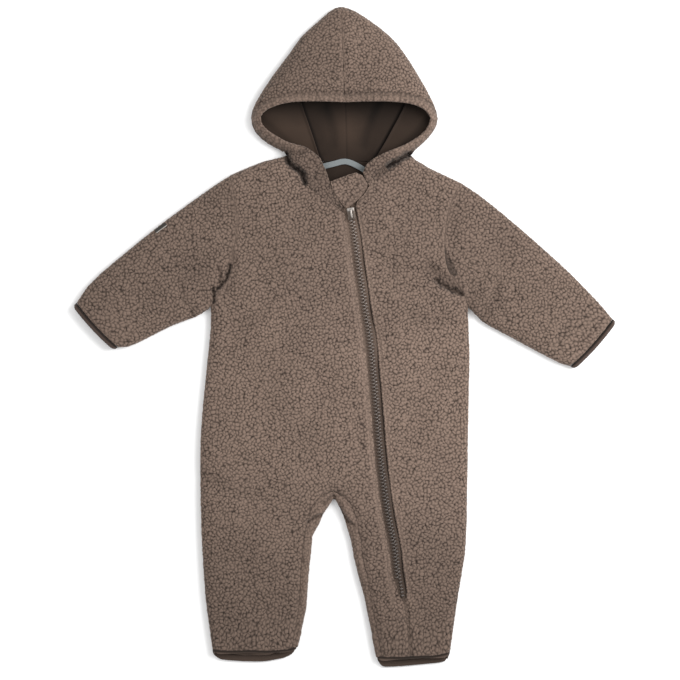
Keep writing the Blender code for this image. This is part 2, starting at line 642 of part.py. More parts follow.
def make_chin_guard():
    """The fleece guard over the zip's upper end, in the gap of the neck."""
    left = smooth([(-12.2, 484.3), (-9.6, 475.2), (-3.8, 466.4), (1.0, 460.4)])
    right = smooth([(18.0, 490.4), (20.3, 487.6), (23.0, 482.5), (23.8, 479.6), (22.6, 477),
                    (18.4, 471.4), (11.6, 464.8), (7.2, 461.6), (3.4, 459.2)])
    top = smooth([(-12.2, 484.3), (1.5, 489.5), (12.5, 493), (18.0, 490.4)])
    shares = np.linspace(0, 1, 9)
    across = np.linspace(0, 1, 6)
    grid = patch(at(top, length(top) * across), between(left[-1], right[-1], across),
                 at(left, length(left) * shares), at(right, length(right) * shares))
    sheet("chin_guard", [raised(grid, front_height, 0.5)], 2.4, "fleece")


# ---------------------------------------------------------------- zip and trims

def make_zip():
    """Two tapes, two rows of teeth in outline, the slider and its pull under the guard."""
    line = LINES["zip"]
    top = line[0] + (line[0] - line[1]) / np.linalg.norm(line[0] - line[1]) * 16
    bottom = line[-1] + (line[-1] - line[-2]) / np.linalg.norm(line[-1] - line[-2]) * 9
    whole = np.vstack([top, line, bottom])
    whole = at(whole, length(whole) * np.linspace(0, 1, 22))
    for side, sign in (("right", -1), ("left", 1)):
        heights = np.linspace(CHAIN_START, CHAIN_ENDS[side], 22)
        chain_line = at_heights(line, heights)
        inner = offset(whole, sign * SEAM_GAP / 2)
        outer = offset(whole, sign * TAPE_WIDTH)
        grid = np.stack([inner, outer], axis=1)
        flat = raised(grid, lambda points: np.full(len(points), TAPE_TOP))
        sheet("zip_tape_" + side, [flat], TAPE_WALL, "zip_tape")
        inner = offset(chain_line, sign * SEAM_GAP / 2)
        outer = offset(chain_line, sign * CHAIN_WIDTH)
        grid = np.stack([inner, outer], axis=1)
        flat = raised(grid, lambda points: np.full(len(points), CHAIN_TOP))
        sheet("zip_chain_" + side, [flat], CHAIN_WALL, "zip_teeth")


def flat_outline(name, points, half_thickness, bevel, place, material):
    """A flat shape from its outline, as a closed mesh at a place and height."""
    curve = bpy.data.curves.new(name, "CURVE")
    curve.dimensions = "2D"
    curve.fill_mode = "BOTH"
    curve.extrude = (half_thickness - bevel) * MM
    curve.bevel_depth = bevel * MM
    curve.bevel_resolution = 1
    curve.offset = -bevel * MM
    spline = curve.splines.new("POLY")
    spline.points.add(len(points) - 1)
    for point, (x, y) in zip(spline.points, points):
        point.co = (x * MM, y * MM, 0, 1)
    spline.use_cyclic_u = True
    drawn = bpy.data.objects.new(name + "_outline", curve)
    GARMENT.objects.link(drawn)
    bpy.context.view_layer.update()
    ready = drawn.evaluated_get(bpy.context.evaluated_depsgraph_get())
    mesh = bpy.data.meshes.new_from_object(ready)
    bpy.data.objects.remove(drawn)
    shape = bmesh.new()
    shape.from_mesh(mesh)
    bmesh.ops.remove_doubles(shape, verts=shape.verts, dist=0.005 * MM)
    bmesh.ops.recalc_face_normals(shape, faces=shape.faces)
    shape.to_mesh(mesh)
    shape.free()
    mesh.transform(place)
    mesh.name = name
    mesh.materials.clear()
    return new_object(name, mesh, material)


def make_slider():
    """The slider's body with its crown, turned along the zip, and the pull laid up over it."""
    line = LINES["zip"]
    direction = line[0] - line[2]
    turn = math.atan2(direction[1], direction[0]) - math.pi / 2
    middle = line[0] - direction / np.linalg.norm(direction) * 1.0
    half, end = SLIDER_WIDTH / 2, SLIDER_LENGTH / 2
    outline = [(-half, end - 3), (-half + 1.6, end), (half - 1.6, end), (half, end - 3),
               (half - 0.9, -end + 1), (half - 1.8, -end), (-half + 1.8, -end),
               (-half + 0.9, -end + 1)]
    height = (SLIDER_LOW + SLIDER_TOP) / 2
    place = (Matrix.Translation((middle[0] * MM, middle[1] * MM, height * MM))
             @ Matrix.Rotation(turn, 4, "Z"))
    slider = flat_outline("zip_slider", outline[::-1], (SLIDER_TOP - SLIDER_LOW) / 2, 0.6,
                          place, "slider")
    crown_outline = [(-1.5, 3.8), (1.5, 3.8), (1.5, -3.2), (-1.5, -3.2)]
    crown_place = Matrix.Translation((0, 0, 1.9 * MM))
    crown = flat_outline("zip_crown", crown_outline[::-1], 1.2, 0.5,
                         place @ crown_place, "slider")
    joined = slider.modifiers.new("crown", "BOOLEAN")
    joined.operation = "UNION"
    joined.object = crown
    bpy.context.view_layer.update()
    ready = slider.evaluated_get(bpy.context.evaluated_depsgraph_get())
    mesh = bpy.data.meshes.new_from_object(ready)
    slider.modifiers.clear()
    slider.data = mesh
    bpy.data.objects.remove(crown)

    reach = PULL_LENGTH / 2
    arc = [(PULL_WIDTH / 2 * math.cos(angle), reach - PULL_WIDTH / 2
            + PULL_WIDTH / 2 * math.sin(angle)) for angle in np.linspace(0, math.pi, 7)]
    outline = arc + [(-PULL_WIDTH / 2, -reach), (PULL_WIDTH / 2, -reach)]
    up = end + 0.4 + reach
    place = (Matrix.Translation((middle[0] * MM, middle[1] * MM, 6.7 * MM))
             @ Matrix.Rotation(turn, 4, "Z") @ Matrix.Translation((0, up * MM, 0)))
    flat_outline("zip_pull", outline[::-1], PULL_WALL / 2, 0.2, place, "slider")


def make_badge():
    """The bare woven patch at the top edge of the right sleeve, on the cloth's own form."""
    centre, slope = np.array([-181.0, 436.5]), math.radians(36)
    along = np.array([math.cos(slope), math.sin(slope)])
    across = np.array([-along[1], along[0]])
    rows = []
    for v in np.linspace(-1, 1, 6):
        half = BADGE_LENGTH / 2 * (1 - 0.12 * v * v)
        rows.append([centre + along * half * u + across * BADGE_WIDTH / 2 * v
                     for u in np.linspace(-1, 1, 6)])
    grid = raised(np.array(rows), front_height, 0.3 + 1.0)
    sheet("sleeve_badge", [grid], 1.0, "badge")


def place_on_origin():
    """Puts the middle of the garment's footprint at the origin, and its underside at z = 0."""
    bpy.context.view_layer.update()
    graph = bpy.context.evaluated_depsgraph_get()
    corners = []
    for thing in GARMENT.objects:
        mesh = thing.evaluated_get(graph).to_mesh()
        points = np.empty(len(mesh.vertices) * 3, np.float32)
        mesh.vertices.foreach_get("co", points)
        points = points.reshape(-1, 3)
        corners += [points.min(0), points.max(0)]
    low, high = np.min(corners, axis=0), np.max(corners, axis=0)
    shift = Matrix.Translation((-(low[0] + high[0]) / 2, -(low[1] + high[1]) / 2, -low[2]))
    for thing in GARMENT.objects:
        thing.data.transform(shift)


for old in list(bpy.data.objects):
    bpy.data.objects.remove(old)
GARMENT = bpy.data.collections.new("baby_jumpsuit")
bpy.context.scene.collection.children.link(GARMENT)

make_back()
make_front_right()
make_front_left()
make_gusset()
for wearer_side in ("right", "left"):
    make_sleeve(wearer_side)
    make_hem_binding(wearer_side)
    make_hood(wearer_side)
make_linings()
make_chin_guard()
make_zip()
make_slider()
make_badge()
place_on_origin()
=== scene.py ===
# %% [markdown]
# A hooded fleece jumpsuit for a baby, laid out on a pale surface and seen from straight above.
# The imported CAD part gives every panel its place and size. This script gives each one its
# cloth: deep nubby pile, compressed bands beside the seams, stitches, ribbed bindings, moulded
# zip teeth. Each panel starts as a copy of its CAD solid, because a seam only looks sewn when
# both sides keep exactly the line that they were cut to.

# %% Load the part and keep its box
import math

import bmesh
import bpy
import numpy as np
from mathutils import Matrix, Vector, kdtree


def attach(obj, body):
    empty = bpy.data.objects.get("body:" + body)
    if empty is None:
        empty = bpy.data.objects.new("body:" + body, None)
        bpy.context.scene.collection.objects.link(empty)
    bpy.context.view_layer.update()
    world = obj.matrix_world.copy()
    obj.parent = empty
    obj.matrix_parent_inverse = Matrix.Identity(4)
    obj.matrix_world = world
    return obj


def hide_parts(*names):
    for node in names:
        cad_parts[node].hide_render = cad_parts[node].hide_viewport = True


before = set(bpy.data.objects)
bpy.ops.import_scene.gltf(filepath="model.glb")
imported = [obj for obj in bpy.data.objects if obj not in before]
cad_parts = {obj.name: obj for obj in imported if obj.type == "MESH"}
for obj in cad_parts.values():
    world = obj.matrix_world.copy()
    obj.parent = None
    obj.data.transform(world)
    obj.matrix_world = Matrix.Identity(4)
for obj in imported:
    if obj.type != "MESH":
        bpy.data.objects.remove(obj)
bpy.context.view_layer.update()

# %% [markdown]
# The same lengths come back in every cell, so they are named once, in millimetres. A maker
# measures this garment from its lowest hem and from the middle of its width, and the packed
# part has its middle at the origin, so plan points are moved once, by GARMENT_TO_FRAME.

# %% Lengths and plan lines
MM = 0.001
GARMENT_TO_FRAME = np.array([-0.33, -331.0])
EDGE_HEIGHT = 4.2          # height at which front and back meet at the side edges


def through(points, parts=6):
    """A smooth line through plan points, moved into the part's frame, in millimetres."""
    points = np.array(points, float) + GARMENT_TO_FRAME
    padded = np.vstack([2 * points[0] - points[1], points, 2 * points[-1] - points[-2]])
    line = [points[0]]
    for before, start, end, after in zip(padded, padded[1:], padded[2:], padded[3:]):
        for t in np.arange(1, parts + 1) / parts:
            line.append(0.5 * (2 * start + (end - before) * t
                               + (2 * before - 5 * start + 4 * end - after) * t ** 2
                               + (3 * start - before - 3 * end + after) * t ** 3))
    return np.array(line)


def lengths(line):
    return np.concatenate([[0.0], np.cumsum(np.linalg.norm(np.diff(line, axis=0), axis=1))])


def spot_on(line, distance):
    """The place at a distance along a plan line."""
    run = lengths(line)
    return np.array([np.interp(distance, run, line[:, k]) for k in (0, 1)])


def unit(vector):
    return vector / np.linalg.norm(vector)


def offset(line, distance):
    """The line moved sideways, to the left of its own direction."""
    tangent = np.gradient(line, axis=0)
    tangent /= np.linalg.norm(tangent, axis=1)[:, None]
    return line + distance * np.column_stack([-tangent[:, 1], tangent[:, 0]])


FAR = 16.0                 # mm from a line beyond which nothing here depends on it


def towards(points, line):
    """For each point, the step in plan to the nearest place on a line, how far along the line
    that place is, and the direction to the line's left there. Points far outside the line's
    box keep a long step."""
    start, step, begun = line[:-1], np.diff(line, axis=0), lengths(line)
    square = (step ** 2).sum(1)
    left = np.column_stack([-step[:, 1], step[:, 0]]) / np.sqrt(square)[:, None]
    steps, alongs = np.full((len(points), 2), FAR), np.zeros(len(points))
    sides = np.zeros((len(points), 2))
    near = np.flatnonzero(((points[:, :2] > line.min(0) - FAR)
                           & (points[:, :2] < line.max(0) + FAR)).all(1))
    for rows in np.array_split(near, len(near) // 20000 + 1):
        block = points[rows, None, :2]
        share = np.clip(((block - start) * step).sum(2) / square, 0, 1)
        gap = start + share[..., None] * step - block
        best = (gap ** 2).sum(2).argmin(1)
        each = np.arange(len(best))
        steps[rows], sides[rows] = gap[each, best], left[best]
        alongs[rows] = begun[best] + share[each, best] * np.sqrt(square[best])
    return steps, alongs, sides


def distance_to(points, line):
    return np.linalg.norm(towards(points, line)[0], axis=1)


def bump(share):
    """1 in the middle of a fold, falling softly to 0 at its half width."""
    return (1 - np.clip(share, 0, 1) ** 2) ** 2


def eased(share):
    """From 0 to 1 with a soft start and a soft end."""
    share = np.clip(share, 0, 1)
    return share ** 2 * (3 - 2 * share)


LINES = {name: through(points) for name, points in {
    "zip": [(7.5, 453.5), (12, 427), (17, 391), (22, 357), (27, 327), (33.5, 258), (37, 214),
            (41.5, 175), (46, 147), (51.5, 119), (54.5, 93), (58.5, 67)],
    "below_zip": [(60.5, 63), (62.5, 49), (65, 32), (67.5, 17.5)],
    "armhole_right": [(-113.5, 491.5), (-108, 461), (-106.5, 438.5), (-111, 412), (-114.5, 391),
                      (-121.5, 376), (-132.5, 361)],
    "armhole_left": [(117.5, 484), (108.5, 466.5), (102.5, 443.5), (101, 417.5), (104, 398),
                     (111.5, 385.5), (119.5, 374), (124.5, 361)],
    "neck_right": [(-56.5, 511), (-48.5, 500), (-39.5, 485), (-25.5, 472), (-3.5, 456.2)],
    "neck_left": [(66.5, 511), (59.5, 509.5), (47.5, 504), (38.5, 497), (31, 489), (25.5, 480)],
    "hood_middle": [(-2.5, 660), (-1, 625), (1.5, 563.7)],
    "mouth_right": [(1.5, 563.7), (-22.5, 564.2), (-46, 564), (-59.5, 562.4), (-75.5, 557),
                    (-83.3, 549.5), (-80.5, 539.5), (-69.5, 531), (-56, 523.8), (-45, 521)],
    "mouth_left": [(1.5, 563.7), (26.5, 564.2), (53, 563.6), (66.5, 562), (80.5, 557),
                   (87.6, 547.5), (82.5, 535.5), (72, 527), (62.5, 521.8), (54, 518.5)],
    "lapel_right": [(-45, 521), (-37.5, 519), (-25.5, 511.5), (-18.5, 498.5), (-13.5, 485),
                    (-10.8, 475), (-4.8, 466), (-0.2, 459.8)],
    "lapel_left": [(54, 518.5), (40.5, 513), (27.5, 506), (21.5, 500), (19.2, 494),
                   (21.2, 488.6)],
    "gusset_right": [(-9.5, 176), (-21, 171.5), (-28.5, 164), (-32.5, 158), (-34, 149),
                     (-37.5, 138.5), (-41.5, 110.5), (-44, 72), (-45.5, 55), (-52, 23.5)],
    "gusset_left": [(-9.5, 176), (3.5, 167.5), (9.5, 158), (13, 147), (17.5, 126), (19, 112),
                    (25.5, 82), (30.5, 52), (38.5, 15.5)],
    "throat": [(25.5, 480), (24.3, 477.3), (19.4, 470.6), (12.8, 464), (11.9, 460.5)],
    "guard_edge": [(18.0, 490.4), (20.3, 487.6), (23.0, 482.5), (23.8, 479.6), (22.6, 477),
                   (18.4, 471.4), (11.6, 464.8), (7.2, 461.6), (3.4, 459.2)],
    "hem_right": [(-131, 19), (-52, 23.5)],
    "hem_left": [(38.5, 15.5), (67.5, 17.5), (106.5, 19.5)],
    "cuff_right": [(-265, 366), (-223.5, 321.5)],
    "cuff_left": [(265.5, 351), (224.5, 302.5)],
    "outline_shoulder_right": [(-56.5, 511), (-81.5, 505), (-96.5, 499), (-113.5, 491.5),
                               (-135.5, 477), (-183.5, 442), (-219.5, 413), (-243.5, 393),
                               (-255.5, 381), (-265, 366)],
    "outline_shoulder_left": [(66.5, 511), (73, 504.5), (85.5, 499), (98.5, 493), (117.5, 484),
                              (128.5, 477.5), (164.5, 449), (212.5, 407), (236.5, 384),
                              (258, 361), (265.5, 351)],
    "outline_side_right": [(-223.5, 321.5), (-212, 322), (-195.5, 329), (-171.5, 341),
                           (-147.5, 350), (-137.5, 356), (-132.5, 361), (-130.5, 352),
                           (-132.5, 342), (-135.5, 312), (-141.5, 252), (-143.5, 212),
                           (-142.5, 142), (-140.5, 102), (-137.5, 62), (-131, 19)],
    "outline_side_left": [(224.5, 302.5), (212.5, 306), (188.5, 318), (164.5, 331),
                          (140.5, 344), (128.5, 356), (124.5, 361), (123.5, 352),
                          (126.5, 322), (125.5, 272), (124.5, 212), (122.5, 122),
                          (116.5, 82), (110.5, 42), (106.5, 19.5)],
    "outline_legs": [(-45.5, 25), (-40.5, 42), (-36.5, 62), (-35.5, 82), (-32.5, 112),
                     (-30.5, 132), (-24.5, 142), (-20.5, 152), (-13.5, 162), (-9.5, 169),
                     (-5.5, 162), (-0.5, 152), (2.5, 142), (8.5, 122), (11.5, 102),
                     (17.5, 82), (22.5, 62), (26, 42), (32.5, 15)],
    "outline_hood": [(-56.5, 511), (-64, 517.2), (-75.5, 523), (-88.5, 535), (-92.5, 550),
                     (-87.5, 565), (-72.5, 589), (-54.5, 613), (-42, 630.5), (-26, 645),
                     (-13, 656.4), (-2.5, 660), (1, 660), (10, 656.8), (26, 647), (46.5, 631),
                     (61.5, 613), (76.5, 589), (89.5, 565), (94.5, 548), (90, 535.5),
                     (80.5, 524.5), (72.5, 517.5), (66.5, 511)],
}.items()}
EDGES = [line for name, line in LINES.items() if name.startswith(("outline", "hem", "cuff"))]
print(len(LINES), "plan lines, zip", round(lengths(LINES["zip"])[-1]), "mm long")

# %% [markdown]
# The camera comes first, because everything is judged through it. The picture was taken from
# straight above, far enough away that the sides of the garment can't be seen, so a long lens
# at 3 m frames 680 mm at the height of the cloth.

# %% Camera
CAMERA_HEIGHT, FRAME_WIDTH, SENSOR = 3.0, 0.680, 36.0
bpy.ops.object.select_all(action="DESELECT")
bpy.ops.object.camera_add(location=(-0.0038, -0.0045, CAMERA_HEIGHT + 0.008), rotation=(0, 0, 0))
camera = bpy.context.object
camera.name = "overhead_camera"
camera.data.sensor_width = SENSOR
camera.data.lens = SENSOR * CAMERA_HEIGHT / FRAME_WIDTH
bpy.context.scene.camera = camera
print("lens", round(camera.data.lens, 1), "mm")

# %% [markdown]
# Shader maths reads best as maths. A Wire is a value on its way through a material's nodes:
# adding or multiplying wires adds the Math nodes. Any other node comes from Finish.node, which
# takes its type, its settings and what goes into its sockets.

# %% Wires and finishes
class Wire:
    """The output of a node, which can be used in sums."""

    def __init__(self, finish, socket):
        self.finish, self.socket = finish, socket

    def math(self, operation, *values):
        return self.finish.node("ShaderNodeMath", {"operation": operation},
                                dict(enumerate(values)))

    def __add__(self, other):
        return self.math("ADD", self, other)

    def __sub__(self, other):
        return self.math("SUBTRACT", self, other)

    def __rsub__(self, other):
        return self.math("SUBTRACT", other, self)

    def __mul__(self, other):
        return self.math("MULTIPLY", self, other)

    __radd__, __rmul__ = __add__, __mul__

    def sine(self):
        return self.math("SINE", self)

    def clamped(self):
        return self.math("MINIMUM", self.math("MAXIMUM", self, 0.0), 1.0)


class Finish:
    """A material with one Principled shader, built node by node."""

    def __init__(self, name, roughness, **fixed):
        self.material = bpy.data.materials.new(name)
        self.material.use_nodes = True
        self.tree = self.material.node_tree
        self.shader = self.tree.nodes["Principled BSDF"]
        self.set("Roughness", roughness)
        for socket, value in fixed.items():
            self.set(socket.replace("_", " "), value)
        self.place = self.node("ShaderNodeTexCoord", output="Object")

    def node(self, kind, settings=None, values=None, output=0):
        made = self.tree.nodes.new(kind)
        for name, value in (settings or {}).items():
            setattr(made, name, value)
        for socket, value in (values or {}).items():
            self.join(made.inputs[socket], value)
        return Wire(self, made.outputs[output])

    def join(self, socket, value):
        if isinstance(value, Wire):
            self.tree.links.new(value.socket, socket)
        else:
            socket.default_value = value

    def set(self, socket, value):
        self.join(self.shader.inputs[socket], value)

    def attribute(self, name):
        return self.node("ShaderNodeAttribute", {"attribute_name": name}, output="Fac")

    def noise(self, size_mm, detail=2.0, roughness=0.5):
        return self.node("ShaderNodeTexNoise", {}, {
            "Vector": self.place, "Scale": 1000.0 / size_mm, "Detail": detail,
            "Roughness": roughness})

    def axis(self, place, name):
        return self.node("ShaderNodeSeparateXYZ", {}, {"Vector": place}, output=name)

    def between(self, share, first, second):
        """A colour between two others, which may be colours or wires."""
        mixed = self.tree.nodes.new("ShaderNodeMix")
        mixed.data_type = "RGBA"
        for index, value in ((0, share), (6, first), (7, second)):
            if index and not isinstance(value, Wire):
                value = (*value, 1.0)
            self.join(mixed.inputs[index], value)
        return Wire(self, mixed.outputs[2])

    def scaled(self, colour, share):
        return self.node("ShaderNodeVectorMath", {"operation": "SCALE"},
                         {0: colour, "Scale": share})

    def relief(self, height, depth_mm, strength):
        return self.node("ShaderNodeBump", {}, {
            "Height": height, "Distance": depth_mm * MM, "Strength": strength}, output="Normal")


# %% [markdown]
# Bonded pile fleece is the cloth of nearly the whole garment. Its knitted face is brushed and
# tumbled until the fibres curl into nubs 3 to 4 mm apart, with shade in the gaps between them.
# The nubs are real relief in the mesh, and each point keeps how high it stands in the attribute
# "pile", so the painted shade of the gaps falls exactly on the relief. Fibres finer than the
# mesh are a bump.

# %% The fleece's finish
def fleece_finish(name, tip, gap):
    cloth = Finish(name, 0.92, Sheen_Weight=0.25, Sheen_Roughness=0.45,
                   Sheen_Tint=(0.75, 0.66, 0.60, 1.0), Specular_IOR_Level=0.18)
    pile, calm = cloth.attribute("pile"), cloth.attribute("calm")
    fibre = cloth.noise(0.55, 3.0, roughness=0.65)
    patchy = cloth.noise(60.0, 1.0)
    height = (pile * 1.32 - 0.06 + (fibre - 0.5) * 0.42).clamped()
    # The gaps of the pile are painted dark, as painted shade that follows the relief.
    nub = cloth.between(height, gap, tip)
    # Pile crushed flat is smoother, and paler or darker than the tips at random.
    pressed = cloth.between(fibre, tuple(c * 0.70 for c in tip), tuple(c * 1.12 for c in tip))
    mixed = cloth.between((calm * 0.85).clamped(), nub, pressed)
    # Random patches of tone, times the painted shade that each point keeps in "shade".
    shade = ((patchy - 0.5) * 0.24 + 1.0) * (1.0 - cloth.attribute("shade"))
    cloth.set("Base Color", cloth.scaled(mixed, shade))
    cloth.set("Normal", cloth.relief(fibre, 0.30, 0.75))
    return cloth.material


# The second colour is painted shade deep in the gaps of the pile.
FLEECE = fleece_finish("taupe_pile_fleece", (0.192, 0.136, 0.107), (0.011, 0.0072, 0.0053))
print("fleece finish:", len(FLEECE.node_tree.nodes), "nodes")

# %% [markdown]
# Every panel goes through the same steps as real cloth does: it is cut (a copy of the CAD
# solid), its surface is made even (a voxel remesh, which gives the equal small faces that
# relief needs), its bends are softened, and then the pile is raised. Faces that nobody sees,
# inside the garment, are thinned out again.

# %% Tools for one panel
def only(thing):
    """Selects one object alone and makes it active."""
    bpy.ops.object.select_all(action="DESELECT")
    thing.select_set(True)
    bpy.context.view_layer.objects.active = thing


def mode(name):
    bpy.ops.object.mode_set(mode=name)


def modified(piece, kind, **settings):
    """Adds a modifier to a piece, sets it up and applies it."""
    only(piece)
    bpy.ops.object.modifier_add(type=kind)
    for name, value in settings.items():
        setattr(piece.modifiers[-1], name, value)
    bpy.ops.object.modifier_apply(modifier=piece.modifiers[-1].name)


def edited(piece, kind, chosen, operation, **settings):
    """Runs one operation in edit mode on the chosen points ("VERT") or faces ("FACE")."""
    only(piece)
    mode("EDIT")
    bpy.ops.mesh.select_mode(type=kind)
    bpy.ops.mesh.select_all(action="DESELECT")
    mode("OBJECT")
    items = piece.data.polygons if kind == "FACE" else piece.data.vertices
    items.foreach_set("select", chosen)
    mode("EDIT")
    operation(**settings)
    mode("OBJECT")


def cut_from(node, name):
    """A copy of a CAD solid, with the doubled points of its loose triangles merged."""
    piece = bpy.data.objects.new(name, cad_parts[node].data.copy())
    bpy.context.scene.collection.objects.link(piece)
    piece.data.materials.clear()
    only(piece)
    mode("EDIT")
    bpy.ops.mesh.select_all(action="SELECT")
    bpy.ops.mesh.remove_doubles(threshold=0.002 * MM)
    mode("OBJECT")
    return piece


def evened(piece, size_mm, rounds):
    """Equal faces of the given size, then bends softened, straight up and down."""
    only(piece)
    piece.data.remesh_voxel_size = size_mm * MM
    piece.data.remesh_voxel_adaptivity = 0.0
    bpy.ops.object.voxel_remesh()
    modified(piece, "SMOOTH", iterations=rounds, factor=0.5, use_x=False, use_y=False)


def read(items, name):
    values = np.empty(len(items) * 3)
    items.foreach_get(name, values)
    return values.reshape(-1, 3)


def points_of(piece):
    return read(piece.data.vertices, "co") * 1000


def normals_of(piece):
    return read(piece.data.vertices, "normal")


def move_points(piece, points):
    piece.data.vertices.foreach_set("co", (points * MM).ravel())
    piece.data.update()


def remember(piece, **layers):
    """Keeps named values of the points, for the finish to use."""
    for name, values in layers.items():
        layer = piece.data.attributes.new(name, "FLOAT", "POINT")
        layer.data.foreach_set("value", values.astype(np.float32))


def faces_inside(up, height):
    """Which points or faces look into the garment, from their normals' rise and their height."""
    return ((up > 0.5) & (height < EDGE_HEIGHT)) | ((up < -0.5) & (height > EDGE_HEIGHT))


def thin_inside(piece, keep):
    """Collapses most faces that look into the garment."""
    faces = piece.data.polygons
    inside = faces_inside(read(faces, "normal")[:, 2], read(faces, "center")[:, 2] * 1000)
    edited(piece, "FACE", inside, bpy.ops.mesh.decimate, ratio=keep)


# %% [markdown]
# The pile curls into small round pebbles with dark gaps between them. Each pebble grows from
# a point scattered on the cloth itself, so that pebbles are as round on a slope as on the
# flat. No two scattered points are closer than the width of a pebble. The soft hollows of
# cloth that was unfolded and patted flat are a few long cosine waves.

# %% Patterns for pile and hollows
def waves(points, shortest, longest, count, seed):
    """A smooth random pattern with a mean of 0 and a spread of 1."""
    random = np.random.default_rng(seed)
    size = random.uniform(shortest, longest, count)
    angle = random.uniform(0, 2 * math.pi, count)
    rise = random.uniform(-0.6, 0.6, count)
    way = np.column_stack([np.cos(angle), np.sin(angle), rise]) * (2 * math.pi / size)[:, None]
    phase = random.uniform(0, 2 * math.pi, count)
    total = np.zeros(len(points))
    for direction, start in zip(way, phase):
        total += np.cos(points @ direction + start)
    return total * math.sqrt(2 / count)


def scattered(points, apart, seed):
    """Random picks among the points, none closer than apart to another one."""
    random = np.random.default_rng(seed)
    order = random.permutation(len(points))
    jitter = (points + random.uniform(-0.4, 0.4, points.shape))[order]
    cells = np.floor(jitter / apart).astype(int)
    taken, square = {}, apart * apart
    around = [(i, j, k) for i in (0, 1, -1) for j in (0, 1, -1) for k in (0, 1, -1)]
    for (x, y, z), (a, b, c) in zip(jitter.tolist(), cells.tolist()):
        if (a, b, c) in taken:
            continue
        for i, j, k in around:
            other = taken.get((a + i, b + j, c + k))
            if other and ((other[0] - x) ** 2 + (other[1] - y) ** 2
                          + (other[2] - z) ** 2) < square:
                break
        else:
            taken[a, b, c] = (x, y, z)
    return list(taken.values())


PEBBLE, SMALL_PEBBLE = 2.65, 2.5    # mm, the least distance between two pebbles
HOLLOW_SEED, CURL_SEED, PEBBLE_SEED, CREASE_SEED, LINING_SEED = 3, 4, 21, 31, 8


def ragged(points, by, seed):
    """The points moved about in plan by a few tenths or millimetres, to roughen a pattern."""
    moved = points.copy()
    for axis in (0, 1):
        moved[:, axis] += by * waves(points, 4, 11, 30, seed + axis)
    return moved


def pebbles(points, normals, apart, seed):
    """Height of the pile, from 0 in a gap to 1 on a tip. Gaps are not all equally deep, so
    some neighbours join into a curl."""
    seeds = scattered(points[~faces_inside(normals[:, 2], points[:, 2])], apart, seed)
    tree = kdtree.KDTree(len(seeds))
    for index, place in enumerate(seeds):
        tree.insert(place, index)
    tree.balance()
    found = [tree.find_n(place, 2) for place in ragged(points, 0.45, PEBBLE_SEED).tolist()]
    pairs = np.array([(first[1], other[1]) for first, other in found])
    nearest = np.array([first[2] for first, _ in found])
    second = np.array([other[2] for _, other in found])
    own = np.random.default_rng(seed).random(len(seeds))[pairs]
    parted = 0.70 + 0.30 * np.clip((own.sum(1) * 7.3) % 1 * 1.6, 0, 1)
    sharp = 1.6 + 0.12 * waves(points, 5, 16, 60, CURL_SEED)
    return (1 - parted * (nearest / second) ** sharp) * (0.88 + 0.12 * own[:, 0])


# %% [markdown]
# Creases are where a laid garment shows that it is soft. Each one is a line with a width and a
# depth, and a crease can push up a soft ridge beside it, as cloth does when it doubles over.
# Where the sewing machine went, the pile is pressed flat: those bands are calm.

# %% Creases, stitched bands and pressed edges
def crease(points, half_width, depth, ridge=0.0):
    return through(points), half_width, depth, ridge


CREASES = [
    # under the right arm
    crease([(-112.5, 401), (-115.5, 393), (-119, 385), (-126, 377.5)], 2.2, 4.2, 1.4),
    crease([(-130.5, 378), (-129.5, 371), (-129.5, 364)], 2.2, 3.6, 0.8),
    crease([(-126, 400), (-123, 391), (-124.5, 383)], 2.6, 1.9, 1.0),
    crease([(-112, 410), (-112, 396), (-117, 380)], 9.0, 1.6, 0.6),
    # under the left arm
    crease([(91.5, 386), (100, 380.5), (108, 376.5), (118, 373)], 3.4, 3.4, 1.4),
    crease([(86, 398), (97, 388), (110, 380)], 9.0, 1.9, 0.6),
    # beside the neck
    crease([(-57, 512), (-54, 503), (-48, 498), (-41.5, 494), (-38.5, 484)], 3.9, 5.2, 0.9),
    crease([(66, 513), (54, 505.5), (45, 501)], 4.0, 5.8, 0.9),
    crease([(49, 503), (40, 496.5), (33, 491)], 5.5, 2.6, 0.6),
    # hood above its mouth
    crease([(-86, 574), (-76, 571), (-66, 573)], 4.0, 0.9, 0.6),
    crease([(88, 571), (78, 570), (70, 573)], 4.0, 0.9, 0.6),
    # body
    crease([(-100, 340), (-84, 352), (-70, 372)], 9.0, 0.9, 0.5),
    crease([(-140, 190), (-112, 176), (-86, 170)], 10.0, 0.9, 0.5),
    crease([(66, 352), (84, 346), (104, 350)], 9.0, 0.9, 0.5),
    # crotch and inner legs
    crease([(-35.5, 144.5), (-31, 148), (-25, 150.5), (-20, 151.5)], 2.2, 3.0, 1.2),
    crease([(-20, 163), (-14, 168), (-9.5, 171)], 2.0, 2.2, 0.6),
    crease([(-3.5, 158), (0.5, 151), (5, 145)], 2.4, 2.4, 0.8),
    crease([(3.5, 146), (7, 143), (10.5, 140)], 2.4, 1.8, 0.6),
    # sleeves
    crease([(-150, 352), (-160, 366), (-164, 384)], 8.0, 1.3, 0.8),
    crease([(140, 350), (150, 364), (154, 382)], 8.0, 1.3, 0.8),
    crease([(214, 314), (216, 328), (224, 340)], 5.0, 1.0, 0.6),
]

ROWS = {
    "front_right": [(offset(LINES["zip"], -9.5), 2.6)],
    "front_left": [(offset(LINES["zip"], 8.6), 2.0), (LINES["throat"], 2.4)],
    "chin_guard": [(LINES["guard_edge"], 2.6)],
}

